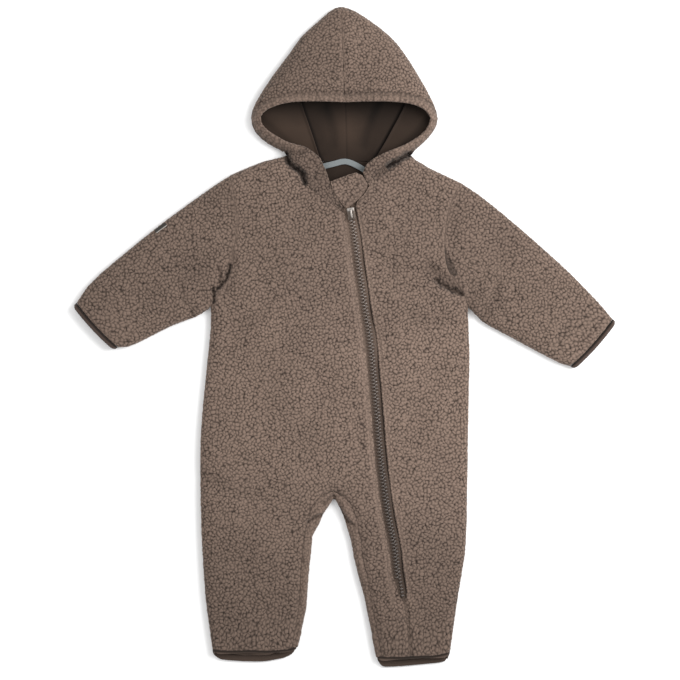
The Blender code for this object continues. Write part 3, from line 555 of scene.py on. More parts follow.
# How a seam looks: how flat its pile is pressed, and how far the cloth stands up beside it
SEAM_LOOKS = {"armhole": (0.62, 0.5), "hood_middle": (0.5, -0.25), "below_zip": (0.35, -0.9),
              "neck": (0.1, 0.25), "gusset": (0.3, -0.55), "hem": (0.5, 0.0), "cuff": (0.5, 0.0)}
# Painted shade in a thin line along each kind of seam, at its darkest:
SEAM_SHADES = {"armhole": 0.20, "hood_middle": 0.14, "below_zip": 0.38, "gusset": 0.38}
SEAMS = {
    "front_right": ["armhole_right", "neck_right", "gusset_right", "gusset_left", "below_zip",
                    "hem_right", "hem_left"],
    "front_left": ["armhole_left", "neck_left", "below_zip", "hem_left"],
    "crotch_gusset": ["gusset_right", "gusset_left"],
    "sleeve_right": ["armhole_right", "cuff_right"],
    "sleeve_left": ["armhole_left", "cuff_left"],
    "hood_right": ["hood_middle", "neck_right"],
    "hood_left": ["hood_middle", "neck_left"],
}
BAND = {"hood_right": "mouth_right", "hood_left": "mouth_left"}
BAND_WIDTH = 8.0           # from the edge of the hood's mouth to its row of stitches


def told(table, seam, other=None):
    """What a table says for the kind of seam that a seam's name begins with."""
    return next((value for kind, value in table.items() if seam.startswith(kind)), other)


def calm_on(points, node):
    """How far the pile is crushed flat, from 0 to 1, near seams and under rows of stitches."""
    calm = np.zeros(len(points))
    for name in SEAMS.get(node, []):
        flat, _ = told(SEAM_LOOKS, name)
        calm = np.maximum(calm, flat * bump(distance_to(points, LINES[name]) / 3.6))
    if node == "crotch_gusset":
        calm = np.maximum(calm, 0.35)
    for line, half_width in ROWS.get(node, []):
        away = distance_to(points, line)
        calm = np.maximum(calm, 0.62 * bump(away / half_width / 1.6))
    if node in BAND:
        away = distance_to(points, LINES[BAND[node]])
        calm = np.maximum(calm, 0.42 * np.clip((BAND_WIDTH + 1.5 - away) / 2, 0, 1))
    return calm


def met_at_seams(points, normals, node):
    """Draws the cut edges of a panel the last bit to the seam's line, as its thread does.
    It also gives back how close each point is to a seam, from 0 to 1."""
    reach, close = 6.0, np.zeros(len(points))
    for name in SEAMS.get(node, []):
        if name.startswith(("hem", "cuff")):
            continue
        steps, along, left = towards(points, LINES[name])
        away = np.linalg.norm(steps, axis=1)
        inwards = -(steps * left).sum(1)
        side = np.sign(np.median(inwards[away < reach]))
        inwards *= side
        wall = (away < 2.6) & (np.abs(normals[:, 2]) < 0.6)
        edge = np.full(len(points), np.median(inwards[wall]))
        bins = np.arange(0, lengths(LINES[name])[-1] + 3, 3.0)
        found = [(low + 1.5, np.median(inwards[rows])) for low in bins
                 if (rows := wall & (along >= low) & (along < low + 3)).sum() > 2]
        if found:
            edge = np.interp(along, *np.array(found).T)
        target = np.clip(inwards - edge, 0, None) * reach / (reach - edge)
        moved = np.where((away < reach) & (inwards < reach), target - inwards, 0)
        if name.startswith("gusset"):
            moved *= np.clip((along - 3) / 8, 0, 1)      # the two gusset seams meet here
        points[:, :2] += (moved * side)[:, None] * left
        away = np.where(away < reach, np.abs(inwards + moved), away)
        _, look = told(SEAM_LOOKS, name)
        high = points[:, 2] > EDGE_HEIGHT + 1.5
        points[:, 2] += np.where(high, 0.35 * bump(away / 1.1)
                                 + look * bump((away - 1.5) / 2.6), 0)
        close = np.maximum(close, bump(away / 2.4))
    return points, close


PLUMP, PLUMP_REACH = 4.2, 17.0     # mm the middle is lifted, and how far in that takes
EDGE_PARTS = 8             # places looked at between two points of an edge's line
EDGE_TREE = kdtree.KDTree(sum(len(line) * EDGE_PARTS for line in EDGES))
for line in EDGES:
    for distance in np.linspace(0, lengths(line)[-1], len(line) * EDGE_PARTS):
        EDGE_TREE.insert((*spot_on(line, distance), 0), 0)
EDGE_TREE.balance()


def plump(points):
    """How far air and the thick cloth lift the front at a plan point, in millimetres."""
    away = np.array([EDGE_TREE.find((x, y, 0))[2] for x, y in points[:, :2].tolist()])
    return PLUMP * (1 - np.exp(-away / PLUMP_REACH))


# %% [markdown]
# Now the panels themselves. Each replaces its CAD solid, which stays behind it for collision.
# The panel keeps the solid's outline. Its middle is lifted a few millimetres, because thick
# fleece never lies quite flat, and its edges go down to the side seams.

# %% Where the front's hems and the sleeves' ends give way
FRONT_HEMS = {             # where the front's lower edge lies, over its elastic band
    "hem_right": through([(-134, 16.4), (-131.5, 16), (-113.5, 15), (-93.5, 15.5), (-73.5, 15),
                          (-53.5, 17), (-50, 18)]),
    "hem_left": through([(32, 9.6), (36, 9.2), (50, 8.8), (62.5, 8.9), (76, 9.8),
                         (89, 10.1), (104.5, 13), (108, 14)]),
}
HEM_GIVE = 28.0            # how far above its lower edge the cloth still gives way


def hem_sag(points, hem):
    """How far the front hangs below its cut line at each point, in millimetres."""
    cut = LINES[hem]
    above = points[:, 1] - np.interp(points[:, 0], *cut.T)
    sag = np.interp(points[:, 0], *cut.T) - np.interp(points[:, 0], *FRONT_HEMS[hem].T)
    near = (points[:, 0] > cut[:, 0].min() - 10) & (points[:, 0] < cut[:, 0].max() + 10)
    return near * sag * eased(1 - above / HEM_GIVE)


# How far each sleeve's end reaches past its cut line: at the line's start, middle and end
CUFF_REACH = {"cuff_right": (3.0, 4.8, 3.0), "cuff_left": (5.0, 6.0, 3.2)}
SLEEVE_GIVE = 30.0         # how far up the sleeve the cloth still gives way


def cuff_reach(points, cuff):
    """The step in plan that each point at a sleeve's end takes along the arm."""
    line, (start, middle, end) = LINES[cuff], CUFF_REACH[cuff]
    span = np.linalg.norm(line[-1] - line[0])
    way = (line[-1] - line[0]) / span
    out = np.array([way[1], -way[0]]) * (1 if cuff == "cuff_right" else -1)
    t = np.clip((points[:, :2] - line[0]) @ way / span, 0, 1)
    reach = start * (1 - t) ** 2 + (4 * middle - start - end) * t * (1 - t) + end * t ** 2
    share = eased(1 + (points[:, :2] - line[0]) @ out / SLEEVE_GIVE)
    return (reach * share)[:, None] * out


# %% [markdown]
# A panel's points know two heights: how far the cloth rises as a whole, and how high its pile
# stands on it. They also keep painted shade, in creases, seams and bands and along the garment's
# length, and painted light beside the zip and on the hood's band.

# %% Make a fleece panel
NUB_DEPTH, NUB_MEAN, HOLLOW_DEPTH, PRESSED_IN = 0.7, 0.75, 0.8, 0.2
# Painted shade in the creases:
CREASE_SHADE, DARKEST = 0.16, 0.85     # how dark a crease is per mm of depth, and at most
PUCKER = 5.6               # mm from one pucker of the stitched band to the next
ZIP_EDGE_DROP = {"front_right": 1.3, "front_left": 0.9}
ZIP_EDGE_PAINTED_LIGHT = {"front_right": 0.06, "front_left": 0.16}
# Painted shade along the garment's length, darker towards the hood and down the legs, with a
# little painted light at the belly: y in mm, then how dark
LENGTHWISE_PAINTED_SHADE = [-260, -150, -95, -20, 40, 80], [0.26, 0.04, -0.07, -0.02, 0.08, 0.11]
# More painted shade on the hood's right side and on both sleeves
EXTRA_PAINTED_SHADE = {"hood_right": 0.08, "sleeve_right": 0.07, "sleeve_left": 0.05}
# Painted shade on the hood's lower part, below this height:
HOOD_BASE = 205.0          # y above which the hood is no longer darker
GUARD_MIDDLE, GUARD_GROWTH = np.array([5.5, 476.0]) + GARMENT_TO_FRAME, 1.055


def creased(rest, rise, shade):
    """A panel's rise and shade with its creases set in; each crease gets painted shade, darker
    the deeper it is.
    """
    uneven = ragged(rest, 0.4, CREASE_SEED)
    for line, half_width, depth, ridge in CREASES:
        near = distance_to(uneven, line)
        beside = distance_to(uneven, offset(line, half_width * 1.7))
        rise += ridge * bump(beside / (half_width * 1.9)) - depth * bump(near / half_width)
        shade = np.maximum(shade, min(depth * CREASE_SHADE, DARKEST)
                           * bump(near / half_width / 1.5))
    return rise, shade


def banded(rest, rise, shade, mouth):
    """The hood's rise and shade with the band round its mouth, stuffed and stitched down, with
    painted shade in its puckered groove and painted light on the band.
    """
    _, along, _ = towards(rest, mouth)
    away = distance_to(rest, mouth)
    past_row = away - BAND_WIDTH
    pucker = 0.5 + 0.5 * np.sin(along * 2 * math.pi / PUCKER + 3 * np.sin(along / 11))
    rise += 1.2 * bump((away - 3.4) / 4.8) - (1.4 + 0.6 * pucker) * bump((past_row - 1) / 2.2)
    rise += 0.5 * (pucker - 0.5) * bump((past_row - 3) / 4)
    shade = np.maximum(shade, (0.22 + 0.26 * pucker) * bump((past_row - 1) / 1.6))
    return rise, shade - 0.24 * bump((away - 3.0) / 5.4)


def fleece_panel(node, size_mm, rounds=12, inside=0.05):
    """Cuts, evens, sews, creases and raises the pile of one panel."""
    piece = cut_from(node, "fleece_" + node)
    evened(piece, size_mm, rounds)
    points, normals = points_of(piece), normals_of(piece)
    points, close = met_at_seams(points, normals, node)
    if node == "chin_guard":
        points[:, :2] = GUARD_MIDDLE + (points[:, :2] - GUARD_MIDDLE) * GUARD_GROWTH
    rest = points.copy()
    free = points[:, 2] > EDGE_HEIGHT + 1.5
    # Painted shade along the garment's length, and more on some panels
    shade = np.interp(rest[:, 1], *LENGTHWISE_PAINTED_SHADE) + EXTRA_PAINTED_SHADE.get(node, 0)
    if node in BAND:
        # Painted shade on the lower part of the hood, beside the neck
        shade += 0.14 * np.clip((HOOD_BASE - rest[:, 1]) / 25, 0, 1)
    # Painted shade along the seams
    for name in SEAMS.get(node, []):
        dark = told(SEAM_SHADES, name, 0)
        shade = np.maximum(shade, dark * bump(distance_to(rest, LINES[name]) / 1.5))
    lift = plump(rest)
    rise = lift + waves(points, 45, 90, 12, HOLLOW_SEED) * HOLLOW_DEPTH * lift / PLUMP
    if node != "back":
        rise, shade = creased(rest, rise, shade)
    if node in BAND:
        rise, shade = banded(rest, rise, shade, LINES[BAND[node]])
    for line, half_width in ROWS.get(node, []):
        rise -= 0.7 * bump(distance_to(rest, line) / half_width)
    if node in ZIP_EDGE_DROP:
        away = distance_to(rest, LINES["zip"])
        rise -= ZIP_EDGE_DROP[node] * np.clip((10 - away) / 4, 0, 1) ** 1.5
        # Painted light on the fleece just beside the zip
        shade -= ZIP_EDGE_PAINTED_LIGHT[node] * bump((away - 9.5) / 5)
    if node == "chin_guard":
        away = distance_to(rest, LINES["guard_edge"])
        rise += 0.7 * bump((away - 1.6) / 1.8) - 0.5 * bump((away - 4.4) / 1.4)
    points[:, 2] += np.where(free, rise * np.clip((points[:, 2] - EDGE_HEIGHT) / 2, 0, 1), 0)
    move_points(piece, points)
    normals = normals_of(piece)
    pile = pebbles(rest, normals, SMALL_PEBBLE if node in BAND else PEBBLE, len(node))
    calm = calm_on(rest, node)
    depth = NUB_DEPTH * (1 - 0.8 * calm)
    way = normals * (1 - close)[:, None]
    way[:, 2] += close * free
    points += way * ((pile - NUB_MEAN) * depth - PRESSED_IN * calm)[:, None]
    for hem in FRONT_HEMS if node.startswith(("front", "crotch")) else []:
        points[:, 1] -= hem_sag(rest, hem)
    if node.startswith("sleeve"):
        points[:, :2] += cuff_reach(rest, node.replace("sleeve", "cuff"))
    points[:, 2] = np.maximum(points[:, 2], 0.0)
    move_points(piece, points)
    remember(piece, pile=pile, calm=calm, shade=shade)
    thin_inside(piece, inside)
    return finished(piece, FLEECE, node)


def finished(piece, material, node, smooth=True):
    only(piece)
    if smooth:
        bpy.ops.object.shade_smooth()
    if material:
        piece.data.materials.append(material)
    if node:
        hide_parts(node)
    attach(piece, "root")
    print(piece.name, len(piece.data.polygons), "faces")
    return piece


# %% [markdown]
# Panels that are seen from above get small faces, and the back, which lies underneath, gets
# larger ones.

# %% Panels of body, sleeves and hood
FINE, COARSE = 0.88, 1.9
panels = {node: fleece_panel(node, FINE) for node in (
    "front_right", "front_left", "crotch_gusset", "sleeve_right", "sleeve_left",
    "hood_right", "hood_left", "chin_guard")}
panels["back"] = fleece_panel("back", COARSE, rounds=4)

# %% [markdown]
# Brushed jersey lines the hood and neck. It is thin, so it falls in soft folds. An elastic
# binding goes round each cuff and hem: a rolled edge, with a groove where it is sewn on, and
# fine ribs across it.

# %% Finishes for thin cloth
def thin_cloth(name, colour, ribs_mm=0.0, depth=0.12, border=None):
    """Cloth without pile. Ribs run across the attribute "along". A border colour shows where
    the attribute "border" is 1."""
    cloth = Finish(name, 0.9, Specular_IOR_Level=0.12, Sheen_Weight=0.12, Sheen_Roughness=0.5)
    fibre = cloth.noise(0.7, 3.0, roughness=0.65)
    patchy = cloth.noise(22.0, 2.0)
    # Per point, painted shade where this attribute is above 0 and painted light where it is
    # below 0.
    pressed = cloth.attribute("pressed")
    shade = ((fibre - 0.5) * 0.35 + (patchy - 0.5) * 0.22 + 1.0) * (1.0 - pressed * 0.62)
    if border:
        colour = cloth.between(cloth.attribute("border"), colour, border)
    cloth.set("Base Color", cloth.scaled(colour, shade))
    height = fibre * 0.5
    if ribs_mm:
        height = height + (cloth.attribute("along") * (2 * math.pi / ribs_mm)).sine() * 0.5
    cloth.set("Normal", cloth.relief(height, depth, 0.8))
    return cloth.material


JERSEY = thin_cloth("brown_jersey", (0.0245, 0.0156, 0.0110))
CUFF_RIB = thin_cloth("dark_elastic", (0.060, 0.041, 0.033), 0.9, 0.25)
HEM_RIB = thin_cloth("brown_elastic", (0.084, 0.058, 0.045), 0.9, 0.2)
TAPE_WEAVE = thin_cloth("zip_tape_weave", (0.122, 0.086, 0.067), 0.8, 0.2)
NECK_WEAVE = thin_cloth("pale_twill", (0.225, 0.245, 0.250), 0.7, 0.2)


# %% [markdown]
# through the mouth, so its light and shade are painted into its colour: painted shade in the
# hollow, on the folded sides and in the folds, and painted light where the light falls in.

# %% Linings
FOLD_RIGHT = through([(-45, 574), (-41.5, 562), (-37, 549), (-33.5, 539), (-29.5, 527),
                      (-22.5, 505)])
FOLD_LEFT = through([(65, 574), (61.5, 562), (55, 549), (49.5, 539), (42.5, 526),
                     (30.5, 506)])
LINING_FOLDS = {
    "hood_lining_back": [
        crease([(1.5, 592), (2, 560), (3, 530), (3.5, 506)], 1.0, 0.4),
        (FOLD_RIGHT, 3.6, 0.68, 0.0), (FOLD_LEFT, 4.4, 0.68, 0.0),
        crease([(-20, 566), (-12, 545), (-9, 522)], 7.0, 0.3, 0.3),
        crease([(36, 566), (27, 545), (20, 522)], 7.0, 0.3, 0.3),
    ],
    "hood_lining_right": [
        crease([(-84, 548), (-68, 534), (-50, 518)], 7.0, 0.35, 0.9),
        (FOLD_RIGHT, 3.0, -1.3, 0.0),
    ],
    "hood_lining_left": [
        crease([(86, 548), (74, 534), (58, 518)], 7.0, 0.35, 0.9),
        (FOLD_LEFT, 3.0, -1.3, 0.0),
    ],
    "neck_lining": [],
}


# Painted shade on the folded sides at the top, turning to painted light below:
LINING_SIDES = {           # how dark the folded sides are at the top, and how much less below
    "hood_lining_right": (0.92, 1.7), "hood_lining_left": (1.08, 1.2),
}
LINING_GROWTH = 1.12       # the back goes on under the folded sides
LIT_PLACE = np.array([4.0, 205.0])     # where light falls in through the mouth


def lining(node):
    """A thin lining with its folds."""
    piece = cut_from(node, "jersey_" + node)
    evened(piece, 0.8, 10)
    points = points_of(piece)
    if node == "hood_lining_back":
        points[:, 0] *= LINING_GROWTH
    rest = points.copy()
    middle = np.linalg.norm(rest[:, :2] - LIT_PLACE, axis=1)
    # Painted shade towards the top of the hollow, and painted light where light falls in
    pressed = 0.30 + 0.6 * np.clip((rest[:, 1] - 208) / 22, 0, 1) - 1.1 * bump(middle / 30)
    if node in LINING_SIDES:
        deep, lit = LINING_SIDES[node]
        pressed = deep - lit * np.clip((234 - rest[:, 1]) / 26, 0, 1)
    for line, half_width, depth, ridge in LINING_FOLDS[node]:
        near = distance_to(rest, line)
        beside = distance_to(rest, offset(line, half_width * 1.6))
        points[:, 2] += ridge * bump(beside / half_width / 1.6) - depth * bump(near / half_width)
        # Painted shade in each fold
        if depth > 0:
            pressed += np.minimum(depth * 1.7, 1.4 - pressed) * bump(near / half_width)
    points[:, 2] += 0.12 * waves(rest, 14, 30, 10, LINING_SEED)
    move_points(piece, points)
    remember(piece, pressed=pressed)
    thin_inside(piece, 0.1)
    return finished(piece, JERSEY, node)


linings = {node: lining(node) for node in LINING_FOLDS}


# %% [markdown]
# The elastic pulls each band into small ripples. The front half of a hem's band ends higher
# than the back half, so both lower edges are seen.

# %% Bindings of cuffs and hems
ROUND = 5.0                # how far from its ends a band's corner is rounding off
GATHER = 2.3               # mm from one gathered ripple of an elastic band to the next
FRONT_SHORTER = 2.0        # the front half of a hem's band ends this far above the back half


def binding(node, edge, material, lower_edge=None):
    """The rolled elastic edge. Its sewn side lies at the line called edge. A hem's back half
    hangs lower, down to lower_edge."""
    piece = cut_from(node, "elastic_" + node)
    evened(piece, 0.62, 4)
    points, normals = points_of(piece), normals_of(piece)
    line = LINES[edge]
    steps, along, left = towards(points, line)
    out = np.abs((steps * left).sum(1))
    top = points[:, 2] > EDGE_HEIGHT
    if lower_edge is not None:
        bottom = np.interp(points[:, 0], *lowest(points))
        target = np.interp(points[:, 0], *lower_edge.T)
        sewn = np.interp(points[:, 0], *line[np.argsort(line[:, 0])].T)
        share = np.clip((sewn - points[:, 1]) / np.maximum(sewn - bottom, 1.0), 0, 1)
        high = sewn - hem_sag(np.column_stack([points[:, 0], sewn]), edge) + 1.5
        front = high + (target + FRONT_SHORTER - high) * share
        slit = ~top & (share > 0.05) & (share < 0.75)
        points[:, 1] += np.where(top, front - points[:, 1], (target - bottom) * share
                                 + 1.8 * slit * (normals[:, 1] > 0.4))
        out = (high - points[:, 1]) * 0.75
    else:
        past = (points[:, :2] - line[0]) @ unit(line[1] - line[0])
        left_over = (line[-1] - points[:, :2]) @ unit(line[-1] - line[-2])
        inside = np.clip(np.minimum(past, left_over) / ROUND, 0, 1)
        corner = 0.35 + 0.65 * np.sqrt(1 - (1 - inside) ** 2)
        outward = -steps / np.maximum(np.linalg.norm(steps, axis=1), 1e-6)[:, None]
        points[:, :2] += outward * (out * (corner - 1))[:, None] + cuff_reach(points, edge)
    points[:, 2] += np.where(top, 0.7 * bump((out - 2.9) / 2.6) - 0.5 * bump(out / 1.3), 0)
    gather = 0.10 * np.sin(along * 2 * math.pi / GATHER + np.sin(along / 3))
    points += normals * gather[:, None]
    points[:, 2] = np.maximum(points[:, 2], 0.0)
    move_points(piece, points)
    # Painted shade in the groove where the band is sewn on, and over the band's lower half
    painted_groove_shade = np.clip(1.7 * bump((out - 0.8) / 2.2), 0, 1.25)
    remember(piece, along=along, pressed=np.where(top, painted_groove_shade, 0.55))
    return finished(piece, material, node)


def lowest(points):
    """The lower edge of a piece in plan, every 2 mm, as x and y."""
    places = np.arange(points[:, 0].min() + 1, points[:, 0].max(), 2.0)
    return places, [points[np.abs(points[:, 0] - x) < 1.0, 1].min() for x in places]


LOWER_EDGES = {
    "hem_right": through([(-131.5, 15), (-129, 10.5), (-124.5, 7), (-118, 5.6), (-100, 4.6),
                          (-80, 4.6), (-62, 7), (-53, 10.5), (-48, 16), (-46, 22)]),
    "hem_left": through([(33, 11), (35, 4), (38.5, -0.2), (44, -1.2), (60, -0.2), (80, 1.6),
                         (96, 2.8), (103, 5.4), (106.5, 13)]),
}
for side in ("right", "left"):
    cuff, hem = "cuff_" + side, "hem_" + side
    binding("cuff_binding_" + side, cuff, CUFF_RIB)
    binding("hem_binding_" + side, hem, HEM_RIB, LOWER_EDGES[hem])


# %% [markdown]
# A bare strip of twill covers the seam inside the back of the neck.

# %% Neck tape
def neck_tape():
    piece = cut_from("neck_tape", "woven_neck_tape")
    evened(piece, 0.45, 2)
    points = points_of(piece)
    steps, along, _ = towards(points, NECK_TAPE)
    away = np.linalg.norm(steps, axis=1)
    points[:, 2] += 0.25 * np.sin(along / 4.5) + 0.1
    move_points(piece, points)
    remember(piece, along=along, pressed=0.3 * bump((away - 2.6) / 0.7))
    return finished(piece, NECK_WEAVE, "neck_tape")


NECK_TAPE = through([(-22, 500), (-10, 503), (1.5, 505.5), (12, 502), (24, 495)])
tape = neck_tape()

# %% [markdown]
# The zip is set in sunk between the turned edges of the fleece. Its teeth are moulded resin:
# one tooth is modelled, then copied along each edge of the chain, half a step apart.

# %% Zip tapes
ZIP_LIFT = 1.7             # the chain rides a little higher than its flat solid


def zip_tape(side):
    piece = cut_from("zip_tape_" + side, "woven_zip_tape_" + side)
    evened(piece, 0.75, 2)
    points = points_of(piece)
    steps, along, _ = towards(points, LINES["zip"])
    away = np.linalg.norm(steps, axis=1)
    shown = 6.3 if side == "left" else 9.0
    points[:, 2] += plump(points) + ZIP_LIFT * np.clip((shown - away) / 1.8, 0, 1)
    move_points(piece, points)
    # Painted shade on the outer edge of the left tape and painted light on the right one's, and
    # painted shade growing down the zip
    edge = 0.2 if side == "left" else -0.35
    remember(piece, along=along, pressed=edge * np.clip((away - 4.4) / 1.4, 0, 1)
             + 0.7 * np.clip(0.45 - 0.0034 * points[:, 1], 0, 1))
    return finished(piece, TAPE_WEAVE, "zip_tape_" + side)


zip_tapes = {"zip_tape_" + side: zip_tape(side) for side in ("right", "left")}


# %% [markdown]
# A tooth is a rounded head that grips the next tooth, and a leg moulded round the tape's edge.

# %% One tooth
def new_block(name, size, place=(0, 0, 0)):
    """A box with its size applied, ready to be shaped."""
    bpy.ops.mesh.primitive_cube_add(size=1.0, location=[v * MM for v in place])
    block = bpy.context.object
    block.name = name
    block.scale = [v * MM for v in size]
    bpy.ops.object.transform_apply(location=True, rotation=False, scale=True)
    return block


def bevelled(piece, width_mm, segments=2):
    modified(piece, "BEVEL", width=width_mm * MM, segments=segments)
    bpy.ops.object.shade_smooth_by_angle(angle=math.radians(40))


def joined(pieces, name):
    bpy.ops.object.select_all(action="DESELECT")
    for piece in pieces:
        piece.select_set(True)
    bpy.context.view_layer.objects.active = pieces[0]
    bpy.ops.object.join()
    pieces[0].name = name
    return pieces[0]


def repeated(model, places, name):
    """Copies of a model, each with its own mesh, set in place and joined into one piece."""
    copies = []
    for place in places:
        copy = bpy.data.objects.new(name, model.data.copy())
        copy.data.transform(place)
        bpy.context.scene.collection.objects.link(copy)
        copies.append(copy)
    return joined(copies, name)


head = new_block("tooth_head", (2.1, 1.75, 1.9), (1.0, 0, 0))
bevelled(head, 0.42)
leg = new_block("tooth_leg", (1.9, 1.15, 1.5), (2.6, 0, -0.1))
bevelled(leg, 0.3, 1)
tooth = joined([head, leg], "zip_tooth")

# %% [markdown]
# The rows follow the zip's slanting line. The resin is painted paler towards the throat, where
# it faces the brighter light, and darker down the zip: painted light and painted shade.

# %% Two rows of teeth
CHAIN_MIDDLE, CHAIN_START, TOOTH_STEP, FIRST_TOOTH = 6.9, 446.4, 3.42, 0.8
CHAIN_ENDS = {"right": 87.0, "left": 70.0}
RESIN = Finish("brown_resin", 0.16, Specular_IOR_Level=0.9)
painted_shade_downwards = (RESIN.axis(RESIN.place, "Y") * -3.4 + 0.45).clamped()
RESIN.set("Base Color", RESIN.between(painted_shade_downwards, (0.130, 0.094, 0.074), (0.050, 0.035, 0.027)))


def on_line(line, distance):
    """Place and direction at a distance along a plan line."""
    spot, ahead = spot_on(line, distance), spot_on(line, distance + 0.5)
    return spot, unit(ahead - spot)


def turned_to(spot, high, angle):
    """The matrix that puts a model at a plan point and a height, turned about the vertical."""
    return Matrix.Translation([v * MM for v in (*spot, high)]) @ Matrix.Rotation(angle, 4, "Z")


def tooth_row(side, sign, start):
    line = LINES["zip"]
    first, last = (np.interp(-(y + GARMENT_TO_FRAME[1]), -line[:, 1], lengths(line))
                   for y in (CHAIN_START, CHAIN_ENDS[side]))
    places = []
    for distance in np.arange(first + start, last - 1.0, TOOTH_STEP):
        spot, way = on_line(line, distance)
        high = plump(spot[None])[0] + CHAIN_MIDDLE + ZIP_LIFT
        places.append(turned_to(spot, high, math.atan2(sign * way[0], -sign * way[1])))
    row = repeated(tooth, places, "resin_teeth_" + side)
    print(len(places), "teeth")
    finished(row, RESIN.material, "zip_chain_" + side, smooth=False)


tooth_row("right", -1, FIRST_TOOTH)
tooth_row("left", 1, FIRST_TOOTH + TOOTH_STEP / 2)
bpy.data.objects.remove(tooth)

# %% [markdown]
# The slider is drawn up to the throat, where the fleece guard hides its pull. It is a metal
# body with two flared wings, a channel for the chain, and a crown like a small bridge.

# %% Slider
def mottled(name, roughness, size_mm, first, second, **fixed):
    """A material whose colour drifts between two."""
    finish = Finish(name, roughness, **fixed)
    finish.set("Base Color", finish.between(finish.noise(size_mm), first, second))
    return finish.material


NICKEL = mottled("worn_nickel", 0.32, 2.0, (0.25, 0.23, 0.21), (0.42, 0.38, 0.35), Metallic=1.0)
BRONZE = mottled("dark_bronze", 0.42, 2.0, (0.075, 0.060, 0.050), (0.140, 0.115, 0.098),
                 Metallic=1.0)
PLATE, RAIL, FOOT = (8.6, 11.6, 0.8), (0.7, 7.6, 2.2), (1.9, 1.3, 2.2)
PLATE_TAPER = 0.74         # width of a plate's lower end, as a share of its upper end
BLOCKS = [                 # name, size, place, bevel and its segments
    ("slider_sole", PLATE, (0, 0, 0.0), 0.38, 3),
    ("slider_top", PLATE, (0, 0, 2.4), 0.38, 3),
    ("slider_nose", (6.6, 3.4, 1.1), (0, 4.3, 3.0), 0.4, 3),
    ("slider_rail_right", RAIL, (-3.3015, -1.6, 1.2), 0.2, 1),
    ("slider_rail_left", RAIL, (3.3015, -1.6, 1.2), 0.2, 1),
    ("slider_wedge", (1.6, 3.0, 2.4), (0, 4.0, 1.2), 0.3, 2),
    ("crown_foot_top", FOOT, (0, 3.6, 3.5), 0.3, 2),
    ("crown_foot_low", FOOT, (0, -3.4, 3.5), 0.3, 2),
    ("crown_bridge", (1.7, 8.2, 0.8), (0, 0.1, 4.5), 0.36, 3),
]
parts = []
for name, size, place, width, segments in BLOCKS:
    part = new_block(name, size, place)
    if size is PLATE:
        lower_end = points_of(part)[:, 1] < 0
        edited(part, "VERT", lower_end, bpy.ops.transform.resize, value=(PLATE_TAPER, 1, 1))
    bevelled(part, width, segments)
    part.data.materials.append(BRONZE if size is PLATE else NICKEL)
    parts.append(part)
slider = joined(parts, "nickel_slider")
slider_spot, slider_way = on_line(LINES["zip"], 1.0)
slider_height = 6.3 + ZIP_LIFT + float(plump(slider_spot[None])[0])
slider_turn = math.atan2(-slider_way[1], -slider_way[0]) - math.pi / 2
slider.data.transform(turned_to(slider_spot, slider_height, slider_turn))
finished(slider, None, "zip_slider")

# %% [markdown]
# The pull tab keeps its CAD form, with its edges rounded.

# %% Pull, laid up under the guard
pull = cut_from("zip_pull", "nickel_pull")
bevelled(pull, 0.15, 2)
finished(pull, NICKEL, "zip_pull")

# %% [markdown]
# A bare woven patch is folded over the upper edge of the right sleeve. It is dark, with a
# pale border.

# %% Badge
DARK_WEAVE = thin_cloth("dark_patch_weave", (0.034, 0.031, 0.028), 0.8, 0.15,
                        border=(0.30, 0.275, 0.25))
OUTER_SIDE = 5.5           # the badge is drawn together towards the sleeve's upper edge
BADGE_MIDDLE = np.array([-181.0, 436.5]) + GARMENT_TO_FRAME
badge = cut_from("sleeve_badge", "woven_badge")
evened(badge, 0.42, 2)
points = points_of(badge)
slope = math.radians(36)   # of the sleeve's upper edge
across, up = (math.cos(slope), math.sin(slope)), (-math.sin(slope), math.cos(slope))
local = (points[:, :2] - BADGE_MIDDLE) @ np.array([across, up]).T
points[:, :2] += ((OUTER_SIDE - local[:, 1]) * 0.5)[:, None] * up
points[:, 2] += 0.5 * plump(points) + 0.5 - 0.22 * (OUTER_SIDE - local[:, 1])
move_points(badge, points)
remember(badge, along=local[:, 0], pressed=np.zeros(len(points)),
         border=np.clip((-2.2 - local[:, 1]) / 0.5, 0, 1))
finished(badge, DARK_WEAVE, "sleeve_badge")

# %% [markdown]
# Rows of small stitches hold the turned edges beside the zip, the band round the hood and the
# guard. Below the zip a bar tack takes the strain. One stitch is modelled and copied, and each
# copy is dropped onto the panel that it is sewn through.

# %% Stitches
bpy.ops.mesh.primitive_uv_sphere_add(segments=8, ring_count=6, radius=MM)
stitch = bpy.context.object
stitch.scale = (0.95, 0.26, 0.2)
bpy.ops.object.transform_apply(location=False, rotation=False, scale=True)
bpy.ops.object.shade_smooth()
THREAD = mottled("brown_thread", 0.7, 0.4, (0.030, 0.020, 0.015), (0.070, 0.049, 0.038))


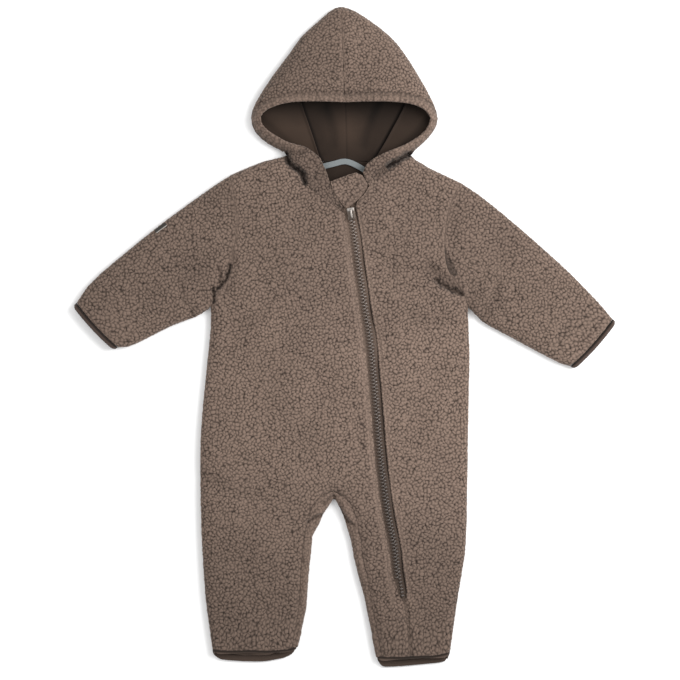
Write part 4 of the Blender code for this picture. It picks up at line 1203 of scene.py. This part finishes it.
def sewn(name, lines, step_mm):
    """Stitches along each line, on top of the panel given with it."""
    places = []
    for panel, line in lines:
        for distance in np.arange(step_mm / 2, lengths(line)[-1], step_mm):
            spot, way = on_line(line, distance)
            above = Vector((spot[0] * MM, spot[1] * MM, 0.06))
            hit, place, _, _ = panels[panel].ray_cast(above, Vector((0, 0, -1)))
            if hit and place.z > (EDGE_HEIGHT + 2) * MM:
                places.append(Matrix.Translation(place)
                              @ Matrix.Rotation(math.atan2(way[1], way[0]), 4, "Z"))
    row = repeated(stitch, places, name)
    print(len(places), "stitches")
    finished(row, THREAD, None)


BAND_ROW, STITCH_STEP = BAND_WIDTH + 1, 2.9
sewn("stitches_zip_right", [("front_right", offset(LINES["zip"], -9.5))], STITCH_STEP)
sewn("stitches_zip_left", [("front_left", offset(LINES["zip"], 8.8))], STITCH_STEP)
sewn("stitches_hood_band", [
    ("hood_right", offset(LINES["mouth_right"][::-1], -BAND_ROW)[::-1]),
    ("hood_left", offset(LINES["mouth_left"], BAND_ROW))], STITCH_STEP)
sewn("stitches_guard", [("chin_guard", offset(LINES["guard_edge"], -4.4))], 2.4)
sewn("bar_tack", [("front_right", through([(51.5, 49.4), (61, 48.6)])),
                  ("front_left", through([(63, 48.5), (68.5, 48.2)]))], 1.1)
bpy.data.objects.remove(stitch)

# %% [markdown]
# A pale floor and plain soft light, as in a studio. The brighter light stands at the upper
# right, which is why the right sleeve is lighter than the left.

# %% Floor and lights
bpy.ops.mesh.primitive_plane_add(size=6.0, location=(0, 0, -0.0005))
floor = bpy.context.object
floor.name = "pale_floor"
paper = Finish("white_paper", 0.9)
paper.set("Base Color", (0.93, 0.93, 0.93, 1.0))
floor.data.materials.append(paper.material)


def soft_light(name, place, aim, size, power):
    bpy.ops.object.light_add(type="AREA", location=place)
    light = bpy.context.object
    light.name = name
    light.data.shape, light.data.size, light.data.energy = "DISK", size, power
    light.rotation_euler = (Vector(aim) - Vector(place)).to_track_quat("-Z", "Y").to_euler()
    return light


soft_light("key_light", (1.05, 0.42, 1.0), (0.0, 0.0, 0), 1.1, 27)
soft_light("fill_light", (-1.2, 0.3, 2.2), (0, 0, 0), 2.0, 10)
world = bpy.data.worlds.new("even_studio")
bpy.context.scene.world = world
world.use_nodes = True
world.node_tree.nodes["Background"].inputs["Color"].default_value = (1.0, 1.0, 1.0, 1.0)
world.node_tree.nodes["Background"].inputs["Strength"].default_value = 0.82
bpy.context.scene.view_settings.view_transform = "Standard"
